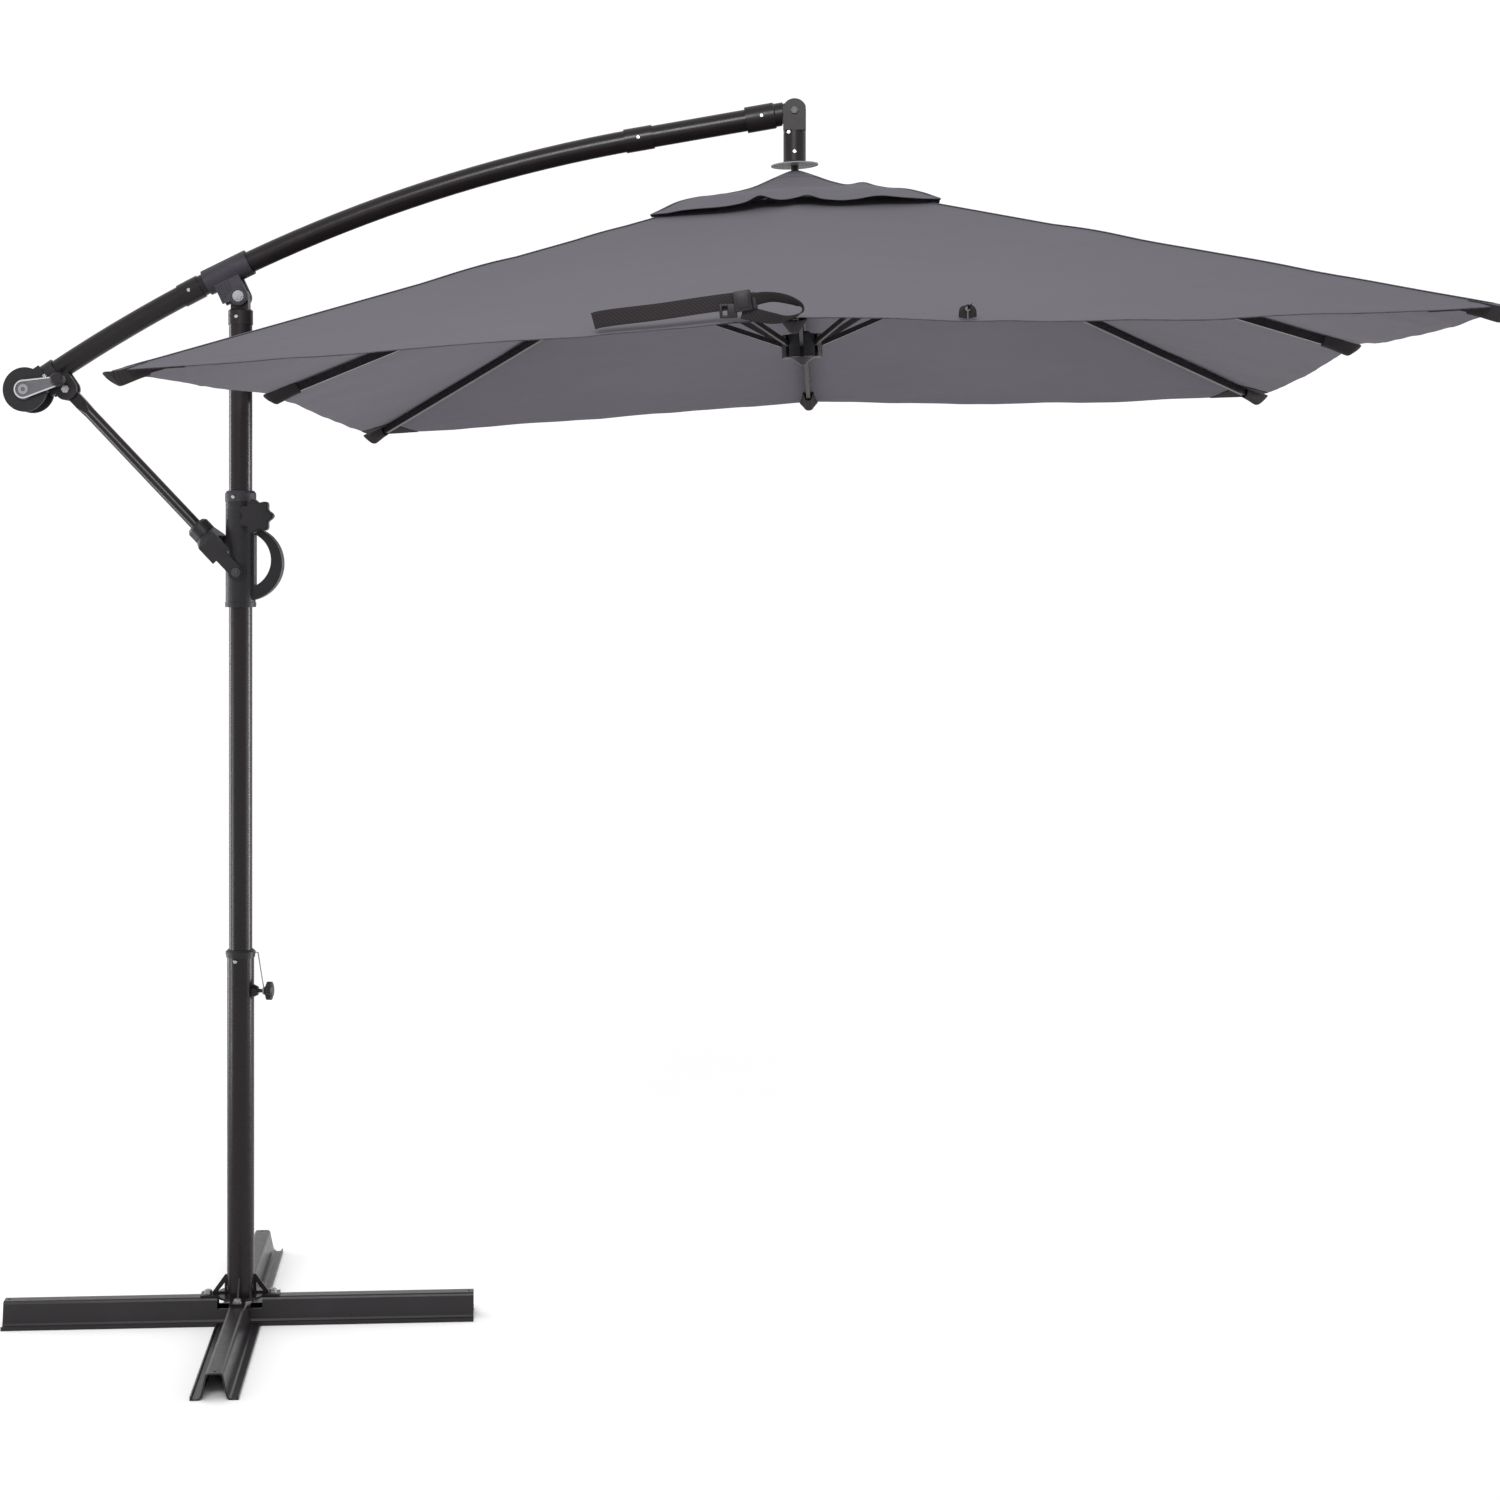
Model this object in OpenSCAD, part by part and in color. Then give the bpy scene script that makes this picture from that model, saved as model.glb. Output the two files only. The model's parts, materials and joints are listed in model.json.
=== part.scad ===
// Cantilever parasol: cross base, swivelling mast, curved tilting arm with a crank, hanging square canopy.
// Units are millimetres. The origin is on the ground under the mast axis, +X runs along the arm, +Z is up.

/* [View] */
// which piece to draw

/* [Base] */
// length of each of the two crossing legs
leg_len = 1000; // [800:10:1200]
// width of a leg over its flanges
leg_w = 95; // [80:1:120]
// height of a leg
leg_h = 53; // [45:1:70]
// sheet thickness of the legs
leg_t = 3; // [2:0.5:5]
// turn of the cross under the arm, in degrees
base_turn = 8; // [-45:1:45]
// outside diameter of the fixed lower tube
foot_d = 58; // [54:0.5:64]
// height of the top of the lower tube
foot_top = 786; // [600:1:900]
// height of the swivel lock knob
lock_z = 708; // [500:1:750]

/* [Mast] */
// outside diameter of the swivelling mast tube
mast_d = 50; // [40:0.5:52]
// wall of the mast tube
mast_t = 1.8; // [1.2:0.1:3]
// height of the arm pivot
pivot_z = 2200; // [2000:5:2400]

/* [Arm] */
// outside diameter of the arm tube
arm_d = 46; // [38:0.5:52]
// wall of the arm tube
arm_t = 1.6; // [1.2:0.1:3]
// radius of the bend of the arm, along its centre line
arm_r = 3290; // [2800:10:4000]
// height of the elbow pivot
elbow_z = 2582; // [2500:1:2700]
// distance of the elbow pivot from the mast axis
elbow_x = 1190; // [1100:5:1300]
// radius of the two discs of the reel
reel_r = 48; // [36:1:55]
// reach of the crank lever
lever_len = 85; // [60:1:110]

/* [Slider] */
// outside diameter of the slider
slider_d = 64; // [60:0.5:72]
// height of the pivot of the brace on the slider
brace_z = 1608; // [1500:1:1700]
// outside diameter of the brace tube
brace_d = 25; // [20:0.5:32]

/* [Canopy] */
// half of the side of the square canopy
half = 1146; // [900:1:1400]
// lean of the canopy, in degrees, with its far side up
lean = 2.3; // [0:0.1:6]
// height of the canopy surface over its middle
apex_z = 2442; // [2300:1:2500]
// height of the corner tips
corner_z = 2003; // [1800:1:2200]
// height of the tips at the middles of the sides
side_z = 2038; // [1800:1:2200]
// half of the side of the vent cap
vent_half = 290; // [200:1:400]
// distance of the struts from the hub, on the corner ribs
corner_a = 445; // [380:1:600]
// distance of the struts from the hub, on the side ribs
side_a = 457; // [380:1:600]
// height of the strut pivots on the lower hub
low_z = 2090; // [2040:1:2150]

/* [Hidden] */
$fn = 48;
eps = 0.01;
// running clearance of a pin in its hole, all round
run = 0.08;
// clearance between pieces that slide on each other
gap = 0.4;
rib_w = 10;
rib_h = 14;
rib_deep = 4;
strut_w = 8;
strut_h = 10;
strut_drop = 14;
hub_r = 40;
cloth_up = 9.5;
cloth_t = 1.2;
cloth_gap = 0.5;
tip_over = 9;
bend_x = 1384;
bend_end = 9.16;
bend_z = elbow_z - arm_r * cos(bend_end)
  - (elbow_x - bend_x + arm_r * sin(bend_end)) * tan(bend_end);
bend_mid = 26.95;
bend_rear = 33.53;
bolt_r = 69;
leg_hole = 6;
coupling_d = 51;
arm_end = [bend_x - arm_r * sin(bend_end), 0, bend_z + arm_r * cos(bend_end)];
elbow_s = (elbow_x - arm_end[0]) / cos(bend_end);
reel_x = -466;
reel_z = 2001.5;
lug_x = -380;
lug_z = 2003;
brace_len = norm([lug_x, lug_z - brace_z]);
brace_ang = atan2(lug_z - brace_z, lug_x);
reel_ang = atan2(reel_z - bend_z, reel_x - bend_x) - 90;
lever_ang = 13;
disc_z = 2470;

function mid_rib(i) = i % 2 == 0;
function tip_r(i) = mid_rib(i) ? half : half * sqrt(2);
function tip_z(i) = mid_rib(i) ? side_z : corner_z;
function slope(i) = atan2(apex_z - tip_z(i), tip_r(i));
function hinge_z(i) = apex_z - hub_r * tan(slope(i)) - cloth_up / cos(slope(i));
function reach(i) = mid_rib(i) ? side_a : corner_a;
function along(i) = sqrt(pow(reach(i), 2) - pow(strut_drop, 2));
function eff(i) = slope(i) + asin(strut_drop / reach(i));
function knee(i) = [hub_r + reach(i) * cos(eff(i)), hinge_z(i) - reach(i) * sin(eff(i))];
function strut_len(i) = norm([knee(i)[0] - hub_r, knee(i)[1] - low_z]);
function strut_ang(i) = atan2(knee(i)[1] - low_z, knee(i)[0] - hub_r);
function rib_len(i) = (tip_r(i) - hub_r) / cos(slope(i)) + tip_over;

// colours of the materials
c_frame = [0.2, 0.18, 0.19];
c_cloth = [0.47, 0.46, 0.5];
c_metal = [0.8, 0.8, 0.82];
c_plastic = [0.12, 0.12, 0.13];

// ---- placing ----

// a cylinder along Y, centred
module ycyl(r, h, f = 48) {
  rotate([90, 0, 0])
    cylinder(r = r, h = h, center = true, $fn = f);
}

// a cylinder along Y between two values of Y
module ycyl_from(r, y0, y1, f = 48) {
  translate([0, y0, 0])
    rotate([-90, 0, 0])
      cylinder(r = r, h = y1 - y0, $fn = f);
}

// the frame of the arm's bend at slope t: X along the arm towards its tip
module at_bend(t) {
  translate([bend_x - arm_r * sin(t), 0, bend_z + arm_r * cos(t)])
    rotate([0, -t, 0])
      children();
}

// a ring swept along the bend from slope t0 to slope t1
module bend_ring(t0, t1, ro, ri) {
  translate([bend_x, 0, bend_z])
    rotate([90, 0, 0])
      rotate([0, 0, 90 + t0])
        rotate_extrude(angle = t1 - t0, $fn = 96)
          translate([arm_r, 0])
            ring2d(ro, ri);
}

module ring2d(ro, ri) {
  difference() {
    circle(r = ro, $fn = 48);
    circle(r = ri, $fn = 48);
  }
}

module ring(ro, ri, h) {
  difference() {
    cylinder(r = ro, h = h);
    translate([0, 0, -1])
      cylinder(r = ri, h = h + 2);
  }
}

// the straight end of the arm: X along the arm, from the end of the bend
module at_tip(s) {
  translate(arm_end)
    rotate([0, -bend_end, 0])
      translate([s, 0, 0])
        children();
}

// a ring along the straight end
module tip_ring(s0, s1, ro, ri) {
  at_tip(s0)
    rotate([0, 90, 0])
      ring(ro, ri, s1 - s0);
}

// the frame of the brace: X from the slider towards the arm
module in_brace() {
  translate([0, 0, brace_z])
    rotate([0, -brace_ang, 0])
      children();
}

// the frame of the leaning canopy
module in_canopy() {
  translate([elbow_x, 0, disc_z])
    rotate([0, -lean, 0])
      translate([0, 0, -disc_z])
        children();
}

module in_base() {
  rotate([0, 0, base_turn])
    children();
}

// ---- base ----

module leg_section() {
  top = [[12, leg_h], [16.2, leg_h - 1.8], [18, leg_h - 5.5], [26, 9], [29, 5], [33, leg_t]];
  lip = [[leg_w / 2 - 3, leg_t], [leg_w / 2 - 3, 8], [leg_w / 2, 8], [leg_w / 2, 0]];
  low = [[31, 0], [26, 2.5], [23, 7.5], [15, leg_h - 6.5], [13.4, leg_h - 4], [11, leg_h - leg_t]];
  side = concat(top, lip, low);
  polygon(concat(side, [for (k = [len(side) - 1:-1:0]) [-side[k][0], side[k][1]]]));
}

module leg_bar() {
  difference() {
    rotate([90, 0, 90])
      linear_extrude(leg_len, center = true)
        leg_section();
    for (s = [-1, 1])
      translate([s * (leg_len / 2 - 10), 0, leg_h - 8])
        cylinder(d = leg_hole, h = 12);
    for (s = [-1, 1])
      translate([s * bolt_r, 0, leg_h - 8])
        cylinder(d = 9, h = 12);
  }
}

module leg_lower() {
  color(c_frame)
    in_base()
      difference() {
        leg_bar();
        translate([-leg_w / 2 - gap, -60, 30])
          cube([leg_w + 2 * gap, 120, 40]);
      }
}

module leg_upper() {
  color(c_frame)
    in_base()
      rotate([0, 0, 90])
        difference() {
          leg_bar();
          translate([-leg_w / 2 - gap, -60, -10])
            cube([leg_w + 2 * gap, 120, 40 + gap]);
        }
}

module gusset() {
  rotate([90, 0, 0])
    linear_extrude(4, center = true)
      difference() {
        polygon([[foot_d / 2 - 2, 57], [60, 57], [60, 61], [foot_d / 2 + 4, 98], [foot_d / 2 - 2, 98]]);
        polygon([[foot_d / 2 + 5, 62], [48, 62], [foot_d / 2 + 5, 80]]);
      }
}

module mast_foot() {
  color(c_frame)
    in_base()
      difference() {
        union() {
          translate([0, 0, leg_h])
            cylinder(r = 52, h = 5);
          for (a = [0, 90])
            rotate([0, 0, a])
              translate([-bolt_r - 15, -16, leg_h])
                cube([2 * bolt_r + 30, 32, 5]);
          translate([0, 0, leg_h + 4])
            cylinder(d = foot_d, h = foot_top - leg_h - 4);
          for (a = [0:90:270])
            rotate([0, 0, a])
              gusset();
          rotate([0, 0, -base_turn])
            translate([foot_d / 2 - 2, 0, lock_z])
              rotate([0, 90, 0])
                cylinder(r1 = 15, r2 = 9, h = 12);
        }
        translate([0, 0, leg_h + 5])
          cylinder(d = mast_d + 1, h = foot_top);
        for (a = [0:90:270])
          rotate([0, 0, a])
            translate([bolt_r, 0, leg_h - 1])
              cylinder(d = 9, h = 8);
        rotate([0, 0, -base_turn])
          translate([mast_d / 2 - 5, 0, lock_z])
            rotate([0, 90, 0])
              cylinder(r = 4 + gap, h = 30);
      }
}

// a bolt, its washers and its nut, as one tightened set
module base_bolts() {
  color(c_metal)
    in_base()
      for (a = [0:90:270])
        rotate([0, 0, a])
          translate([bolt_r, 0, leg_h]) {
            translate([0, 0, -18])
              cylinder(d = 8, h = 24);
            translate([0, 0, -9.5])
              cylinder(d = 13 / cos(30), h = 6.5, $fn = 6);
            translate([0, 0, 5])
              cylinder(d = 19, h = 1.6);
            translate([0, 0, 6.4])
              cylinder(d = 14 / cos(30), h = 6, $fn = 6);
            translate([0, 0, 12.2])
              cylinder(d1 = 12, d2 = 8, h = 1.2);
          }
}

module tube_collar() {
  color(c_plastic)
    difference() {
      union() {
        translate([0, 0, foot_top - 5])
          cylinder(d = foot_d + 4, h = 6);
        translate([0, 0, foot_top + 1])
          cylinder(d = foot_d + 6, h = 6);
        translate([0, 0, foot_top + 7])
          cylinder(d1 = foot_d + 5, d2 = mast_d + 5, h = 4);
      }
      translate([0, 0, foot_top - 15])
        cylinder(d = foot_d + 0.2, h = 15);
      translate([0, 0, foot_top - 15])
        cylinder(d = mast_d + 2 * gap, h = 40);
    }
}

module knob_tether() {
  top_x = foot_d / 2 + 3.05;
  color([0.6, 0.6, 0.62]) {
    translate([49, 0, lock_z])
      rotate([0, 90, 0])
        ring(8, 5, 3);
    rotate([90, 0, 0])
      linear_extrude(3, center = true)
        polygon([
          [top_x, foot_top + 6], [top_x + 7, foot_top + 5], [51.3, lock_z + 6],
          [49.5, lock_z + 6], [top_x + 5, foot_top + 3], [top_x, foot_top + 4]
        ]);
  }
}

// the tether bows outwards between the ring on the knob's neck and the collar
// a grip with n rounded lobes between radius r - bump and r + bump
module lobed(r, n, bump, h) {
  linear_extrude(h)
    polygon([for (k = [0:3:357]) (r + bump * cos(n * k)) * [cos(k), sin(k)]]);
}

module base_lock_knob() {
  color(c_plastic)
    translate([mast_d / 2 + 1, 0, lock_z])
      rotate([0, 90, 0]) {
        cylinder(r = 4, h = 33);
        translate([0, 0, 26.8])
          cylinder(r1 = 9, r2 = 15, h = 5);
        translate([0, 0, 31.5])
          lobed(18.6, 15, 1, 11);
        translate([0, 0, 42.5])
          cylinder(r1 = 16, r2 = 12, h = 2.5);
      }
}

// ---- mast ----

module mast_tube() {
  color(c_frame)
    translate([0, 0, leg_h + 7])
      ring(mast_d / 2, mast_d / 2 - mast_t, 2140 - leg_h - 7);
}

module mast_head() {
  color(c_frame)
    difference() {
      union() {
        translate([0, 0, 2110])
          cylinder(r = mast_d / 2 - mast_t - 0.1, h = 34);
        translate([0, 0, 2140])
          cylinder(r = mast_d / 2 + 1.5, h = 30);
        translate([0, 0, 2170])
          cylinder(r1 = mast_d / 2 + 1.5, r2 = mast_d / 2 - 3, h = 4);
        translate([-19, -12, 2170])
          cube([38, 24, pivot_z - 2170]);
        translate([0, 0, pivot_z])
          ycyl(19, 24);
      }
      translate([0, 0, 2109])
        cylinder(r = 18, h = 28);
      translate([0, 0, pivot_z])
        ycyl(5 + run, 60);
    }
}

module mast_screw() {
  color(c_metal)
    translate([-3, -mast_d / 2 - 1.55, 2156])
      rotate([90, 0, 0])
        screw_head();
}

module foot_screw() {
  color(c_metal)
    translate([-5, -foot_d / 2 - 0.05, foot_top - 12])
      rotate([90, 0, 0])
        screw_head();
}

// ---- slider ----

module slider_body() {
  color(c_plastic)
    difference() {
      union() {
        translate([0, 0, 1533])
          cylinder(d = slider_d, h = 227);
        translate([0, 0, 1533])
          cylinder(d1 = slider_d + 2, d2 = slider_d + 3, h = 10);
        translate([0, 0, brace_z])
          ycyl(19, 67.2);
        translate([24, -14, 1702])
          cube([22, 28, 52]);
        translate([46, 0, 1728])
          scale([0.55, 1, 1])
            ycyl(26, 28);
        handle();
      }
      translate([0, 0, 1500])
        cylinder(r = mast_d / 2 + gap, h = 400);
      translate([20, -2, 1694])
        cube([60, 4, 80]);
      translate([45, 0, 1728])
        ycyl(4 + gap, 80);
      for (s = [-1, 1])
        translate([0, s * 31, brace_z])
          ycyl(5 + run, 12);
    }
}

// a D-shaped grip: two arcs, one for its outside and one for its opening
module handle() {
  rotate([90, 0, 0])
    linear_extrude(26, center = true)
      difference() {
        intersection() {
          translate([12.6, 1626.5])
            circle(r = 80.4, $fn = 96);
          translate([24, 1530])
            square([90, 200]);
        }
        intersection() {
          translate([8.1, 1634])
            circle(r = 60.9, $fn = 96);
          translate([slider_d / 2 + 0.5, 1560])
            square([60, 150]);
        }
      }
}

module slider_cap() {
  color(c_plastic)
    difference() {
      union() {
        translate([0, 0, 1760])
          cylinder(d = slider_d + 2.5, h = 17);
        translate([0, 0, 1777])
          cylinder(d1 = slider_d + 2.5, d2 = slider_d - 6, h = 6);
      }
      translate([0, 0, 1750])
        cylinder(r = mast_d / 2 + gap, h = 60);
      translate([20, -2, 1750])
        cube([60, 4, 24]);
    }
}

module slider_bolts() {
  color(c_metal) {
    for (s = [-1, 1])
      translate([0, 0, brace_z]) {
        translate([0, s * 33.5, 0])
          ycyl(5, 15);
        translate([0, s * 42.6, 0])
          ycyl(10, 3.4);
        translate([0, s * 45.2, 0])
          ycyl(6, 3, 6);
      }
    translate([45, 0, 1728])
      rotate([-90, 0, 0])
        translate([0, 0, 14.4])
          difference() {
            cylinder(r = 8, h = 7, $fn = 6);
            translate([0, 0, -1])
              cylinder(r = 4 + gap, h = 9);
          }
  }
}

module slider_screw() {
  color(c_metal)
    translate([-8, -slider_d / 2 - 1.3, 1769])
      rotate([90, 0, 0])
        screw_head();
}

module slider_lock_knob() {
  color(c_plastic)
    translate([45, 0, 1728])
      rotate([90, 0, 0]) {
        translate([0, 0, -20])
          cylinder(r = 4, h = 58);
        translate([0, 0, 14.4])
          cylinder(r1 = 9, r2 = 14, h = 20);
        translate([0, 0, 34])
          lobed(33.5, 7, 4, 16);
        translate([0, 0, 50])
          lobed(30.5, 7, 3.6, 2.5);
      }
}

// ---- brace ----

module brace_boot() {
  color(c_plastic)
    in_brace()
      difference() {
        union() {
          for (s = [-1, 1]) {
            translate([0, s * 37.25, 0])
              ycyl(14, 6);
            translate([0, s * 37.25 - 3, -14])
              cube([60, 6, 28]);
            translate([48, s * 37.25 - 3, -24])
              cube([44, 6, 48]);
          }
          hull() {
            translate([86, -40.25, -24])
              cube([6, 80.5, 48]);
            translate([106, 0, 0])
              rotate([0, 90, 0])
                cylinder(r = 25.5, h = 4);
          }
          translate([109, 0, 0])
            rotate([0, 90, 0])
              cylinder(r = 24, h = 4);
          translate([112, 0, 0])
            rotate([0, 90, 0])
              cylinder(r = 25.5, h = 22);
          translate([134, 0, 0])
            rotate([0, 90, 0])
              cylinder(r1 = 25.5, r2 = 21, h = 6);
        }
        ycyl(5 + run, 120);
        translate([96, 0, 0])
          rotate([0, 90, 0])
            cylinder(r = brace_d / 2 + 0.1, h = 60);
      }
}

module brace_tube() {
  color(c_frame)
    in_brace() {
      difference() {
        translate([98, 0, 0])
          rotate([0, 90, 0])
            ring(brace_d / 2, brace_d / 2 - 1.6, brace_len - 98 - 70);
      }
      hull() {
        translate([brace_len - 72, 0, 0])
          rotate([0, 90, 0])
            cylinder(r = brace_d / 2, h = 4);
        translate([brace_len - 48, -6, -13])
          cube([4, 12, 26]);
      }
      difference() {
        union() {
          translate([brace_len - 46, -6, -13])
            cube([46, 12, 26]);
          translate([brace_len, 0, 0])
            ycyl(13, 12);
        }
        translate([brace_len, 0, 0])
          ycyl(4, 30);
      }
    }
}

// ---- arm ----

module arm_clamp() {
  t_mid = 25.4;
  color(c_plastic)
    difference() {
      union() {
        at_bend(t_mid)
          rotate([0, 90, 0])
            cylinder(r = 28, h = 104, center = true);
        for (s = [-1, 1]) {
          translate([0, s * 17.4, pivot_z])
            ycyl(20, 10);
          translate([0, s * 17.4, pivot_z])
            rotate([0, -t_mid, 0])
              translate([-38, -5, 0])
                cube([58, 10, 50]);
          translate([0, s * 23.2, pivot_z])
            difference() {
              ycyl(17.5, 2);
              ycyl(13.5, 4);
            }
          for (k = [0:3])
            translate([0, s * 22.6, pivot_z])
              rotate([0, -t_mid, 0])
                translate([-36 + 8 * k, -1.6, 6 + 4 * k])
                  cube([3, 3.2, 34 - 4 * k]);
        }
      }
      at_bend(t_mid)
        rotate([0, 90, 0])
          cylinder(r = arm_d / 2 + 0.6, h = 130, center = true);
      translate([0, 0, pivot_z])
        ycyl(5 + run, 80);
    }
}

module arm_pivot_bolt() {
  color(c_metal)
    translate([0, 0, pivot_z]) {
      ycyl(5, 46);
      for (s = [-1, 1]) {
        translate([0, s * 23.4, 0])
          ycyl(12, 2);
        translate([0, s * 25.2, 0])
          ycyl(9.5, 3, 6);
      }
    }
}

module arm_rear_tube() {
  color(c_frame)
    bend_ring(bend_mid + 0.005, bend_rear, arm_d / 2, arm_d / 2 - arm_t);
}

module arm_front_tube() {
  color(c_frame)
    bend_ring(bend_end, bend_mid - 0.005, arm_d / 2, arm_d / 2 - arm_t);
}

module arm_tip_tube() {
  color(c_frame)
    tip_ring(0.1, elbow_s - 50, arm_d / 2, arm_d / 2 - arm_t);
}

module arm_couplings() {
  d_t = 23.5 / arm_r * 180 / PI;
  color(c_frame) {
    bend_ring(bend_mid - d_t, bend_mid + d_t, coupling_d / 2, arm_d / 2 + 0.05);
    tip_ring(-30, 30, coupling_d / 2, arm_d / 2 + 0.25);
  }
}

module crank_housing() {
  color(c_plastic)
    difference() {
      union() {
        at_bend(33.35)
          rotate([0, 90, 0])
            cylinder(r = 28, h = 56, center = true);
        for (s = [-1, 1]) {
          translate([reel_x, s * 27, reel_z])
            ycyl(reel_r, 5);
          translate([reel_x, s * 26.5, reel_z])
            rotate([0, -reel_ang, 0])
              translate([10, -2.5, -26])
                cube([44, 5, 52]);
          translate([lug_x, s * 11, lug_z])
            ycyl(24, 8);
          translate([lug_x, s * 11, lug_z])
            rotate([0, -reel_ang, 0])
              translate([-34, -4, 4])
                cube([58, 8, 34]);
        }
      }
      at_bend(33.35)
        translate([-34, 0, 0])
          rotate([0, 90, 0])
            cylinder(r = arm_d / 2 + 0.3, h = 120);
      translate([reel_x, 0, reel_z])
        ycyl(7 + gap, 80);
      translate([reel_x, 0, reel_z])
        ycyl(37.5, 44);
      translate([lug_x, 0, lug_z])
        ycyl(28, 13.4);
    }
}

// small screws, each on the surface that it holds
module arm_screws() {
  color(c_metal) {
    for (t = [33.3, bend_mid])
      at_bend(t)
        translate([0, -(t > 30 ? 29.05 : coupling_d / 2 + 0.05), 0])
          rotate([90, 0, 0])
            screw_head();
    at_tip(0)
      translate([0, -coupling_d / 2 - 0.05, 0])
        rotate([90, 0, 0])
          screw_head();
    at_tip(elbow_s - 70)
      translate([0, -27.55, 0])
        rotate([90, 0, 0])
          screw_head();
    for (s = [-1, 1])
      translate([lug_x, s * 17.05, lug_z])
        ycyl(9, 4, 6);
  }
}

module screw_head() {
  difference() {
    cylinder(r1 = 4.5, r2 = 3.2, h = 2.4);
    translate([0, 0, 1.2])
      cylinder(r = 1.6, h = 3, $fn = 6);
  }
}

module elbow_tongue() {
  s_end = elbow_s - 44;
  color(c_frame)
    difference() {
      union() {
        tip_ring(s_end - 60, s_end, 27.5, 4);
        difference() {
          union() {
            at_tip(s_end)
              rotate([0, 90, 0])
                cylinder(r1 = 27.5, r2 = 24.5, h = 3);
            at_tip(s_end + 3)
              rotate([0, 90, 0])
                cylinder(r = 24.5, h = 41);
          }
          translate([elbow_x - 25.8, -40, elbow_z - 60])
            cube([90, 80, 120]);
        }
        at_tip(s_end)
          translate([0, -9.5, -20])
            cube([44, 19, 40]);
        at_tip(elbow_s)
          ycyl(20, 19);
      }
      at_tip(elbow_s)
        ycyl(5 + run, 60);
      at_tip(s_end - 61)
        rotate([0, 90, 0])
          cylinder(r = arm_d / 2 + 0.1, h = 61.2 - 6.1);
    }
}

// ---- crank ----

module reel_drum() {
  color(c_plastic)
    translate([reel_x, 0, reel_z]) {
      ycyl(7, 62);
      ycyl(20, 30);
      for (s = [-1, 1])
        translate([0, s * 17, 0])
          ycyl(36, 4);
    }
}

module in_lever() {
  translate([reel_x, -31, reel_z])
    rotate([0, -lever_ang, 0])
      children();
}

// the outline of the lever: two circles and the lines that touch both
module lever_outline(r1, r2) {
  t = asin((r1 - r2) / lever_len);
  circle(r = r1);
  translate([lever_len, 0])
    circle(r = r2);
  polygon([
    r1 * [sin(t), cos(t)], [lever_len, 0] + r2 * [sin(t), cos(t)],
    [lever_len, 0] + r2 * [sin(t), -cos(t)], r1 * [sin(t), -cos(t)]
  ]);
}

module crank_lever() {
  color(c_metal)
    in_lever()
      difference() {
        union() {
          translate([0, -2, 0])
            rotate([90, 0, 0])
              linear_extrude(4.5)
                lever_outline(20, 9.5);
          translate([0, -6, 0])
            rotate([90, 0, 0])
              linear_extrude(3)
                difference() {
                  lever_outline(20, 9.5);
                  lever_outline(16.8, 6.6);
                }
          ycyl_from(11, -8, -5);
          ycyl_from(22, -2.5, -1);
          translate([lever_len, 0, 0])
            ycyl_from(9, -9, -5);
        }
        translate([lever_len, 0, 0])
          ycyl(5 + run, 60);
        ycyl_from(5, -12, -6.5, 6);
        for (a = [60:120:300])
          rotate([0, a, 0])
            translate([13.6, 0, 0])
              ycyl_from(1.8, -12, -5.5);
        ycyl_from(7, -3, 0);
      }
}

module crank_knob() {
  color(c_plastic)
    in_lever()
      translate([lever_len, 0, 0]) {
        ycyl_from(5, -24, -0.6);
        ycyl_from(9, -16, -9.4);
        translate([0, -16, 0])
          rotate([90, 0, 0])
            cylinder(r1 = 13, r2 = 15, h = 8);
        translate([0, -24, 0])
          rotate([90, 0, 0])
            cylinder(r = 15, h = 14);
        translate([0, -38, 0])
          rotate([90, 0, 0])
            cylinder(r1 = 15, r2 = 10, h = 5);
      }
}

// ---- elbow and hubs ----

module elbow_drop() {
  color(c_frame)
    translate([elbow_x, 0, 0])
      difference() {
        union() {
          translate([-23.75, -22, 2541])
            cube([47.5, 44, elbow_z - 2541]);
          intersection() {
            translate([0, 0, elbow_z])
              ycyl(25.2, 44);
            translate([-40, -30, elbow_z - 22])
              cube([63.75, 60, 60]);
          }
          translate([0, 0, 2476])
            cylinder(d = 47.5, h = 60);
          translate([0, 0, 2530])
            cylinder(d = 44, h = 14);
        }
        translate([-40, -10, 2551])
          cube([80, 20, 75]);
        translate([0, 0, elbow_z])
          ycyl(5 + run, 80);
        translate([0, 0, 2470])
          cylinder(r = 9, h = 40);
      }
}

module elbow_bolts() {
  color(c_metal)
    translate([elbow_x, 0, elbow_z]) {
      ycyl(5, 46);
      for (s = [-1, 1])
        translate([0, s * 24, 0])
          ycyl(8, 4, 6);
    }
}

module drop_screws() {
  color(c_metal)
    for (p = [[-12, -22.6, -46], [0, -23.8, -87]])
      translate([elbow_x, 0, elbow_z] + p)
        rotate([90, 0, 0])
          screw_head();
}

module rain_disc() {
  color([0.5, 0.5, 0.52])
    in_canopy()
      translate([0, 0, disc_z - 2])
        difference() {
          union() {
            cylinder(r = 50, h = 2.2);
            cylinder(r1 = 20, r2 = 14, h = 5);
          }
          translate([0, 0, -1])
            cylinder(r = 8.3, h = 20);
        }
}

module top_hub() {
  color(c_plastic)
    in_canopy() {
      difference() {
        union() {
          translate([0, 0, 2409])
            cylinder(r = 50, h = 22);
          translate([0, 0, 2400])
            cylinder(r1 = 20, r2 = 30, h = 9);
          translate([0, 0, 2430])
            cylinder(r = 8, h = 47);
        }
        for (i = [0:7])
          rotate([0, 0, 45 * i])
            translate([30, -strut_w / 2 - 0.4, 2400])
              cube([30, strut_w + 0.8, 40]);
        translate([0, 0, 2390])
          cylinder(r = 3, h = 100);
      }
      for (i = [0:7])
        rotate([0, 0, 45 * i])
          translate([hub_r, 0, hinge_z(i)])
            ycyl(2, strut_w + 2);
    }
}

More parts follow.
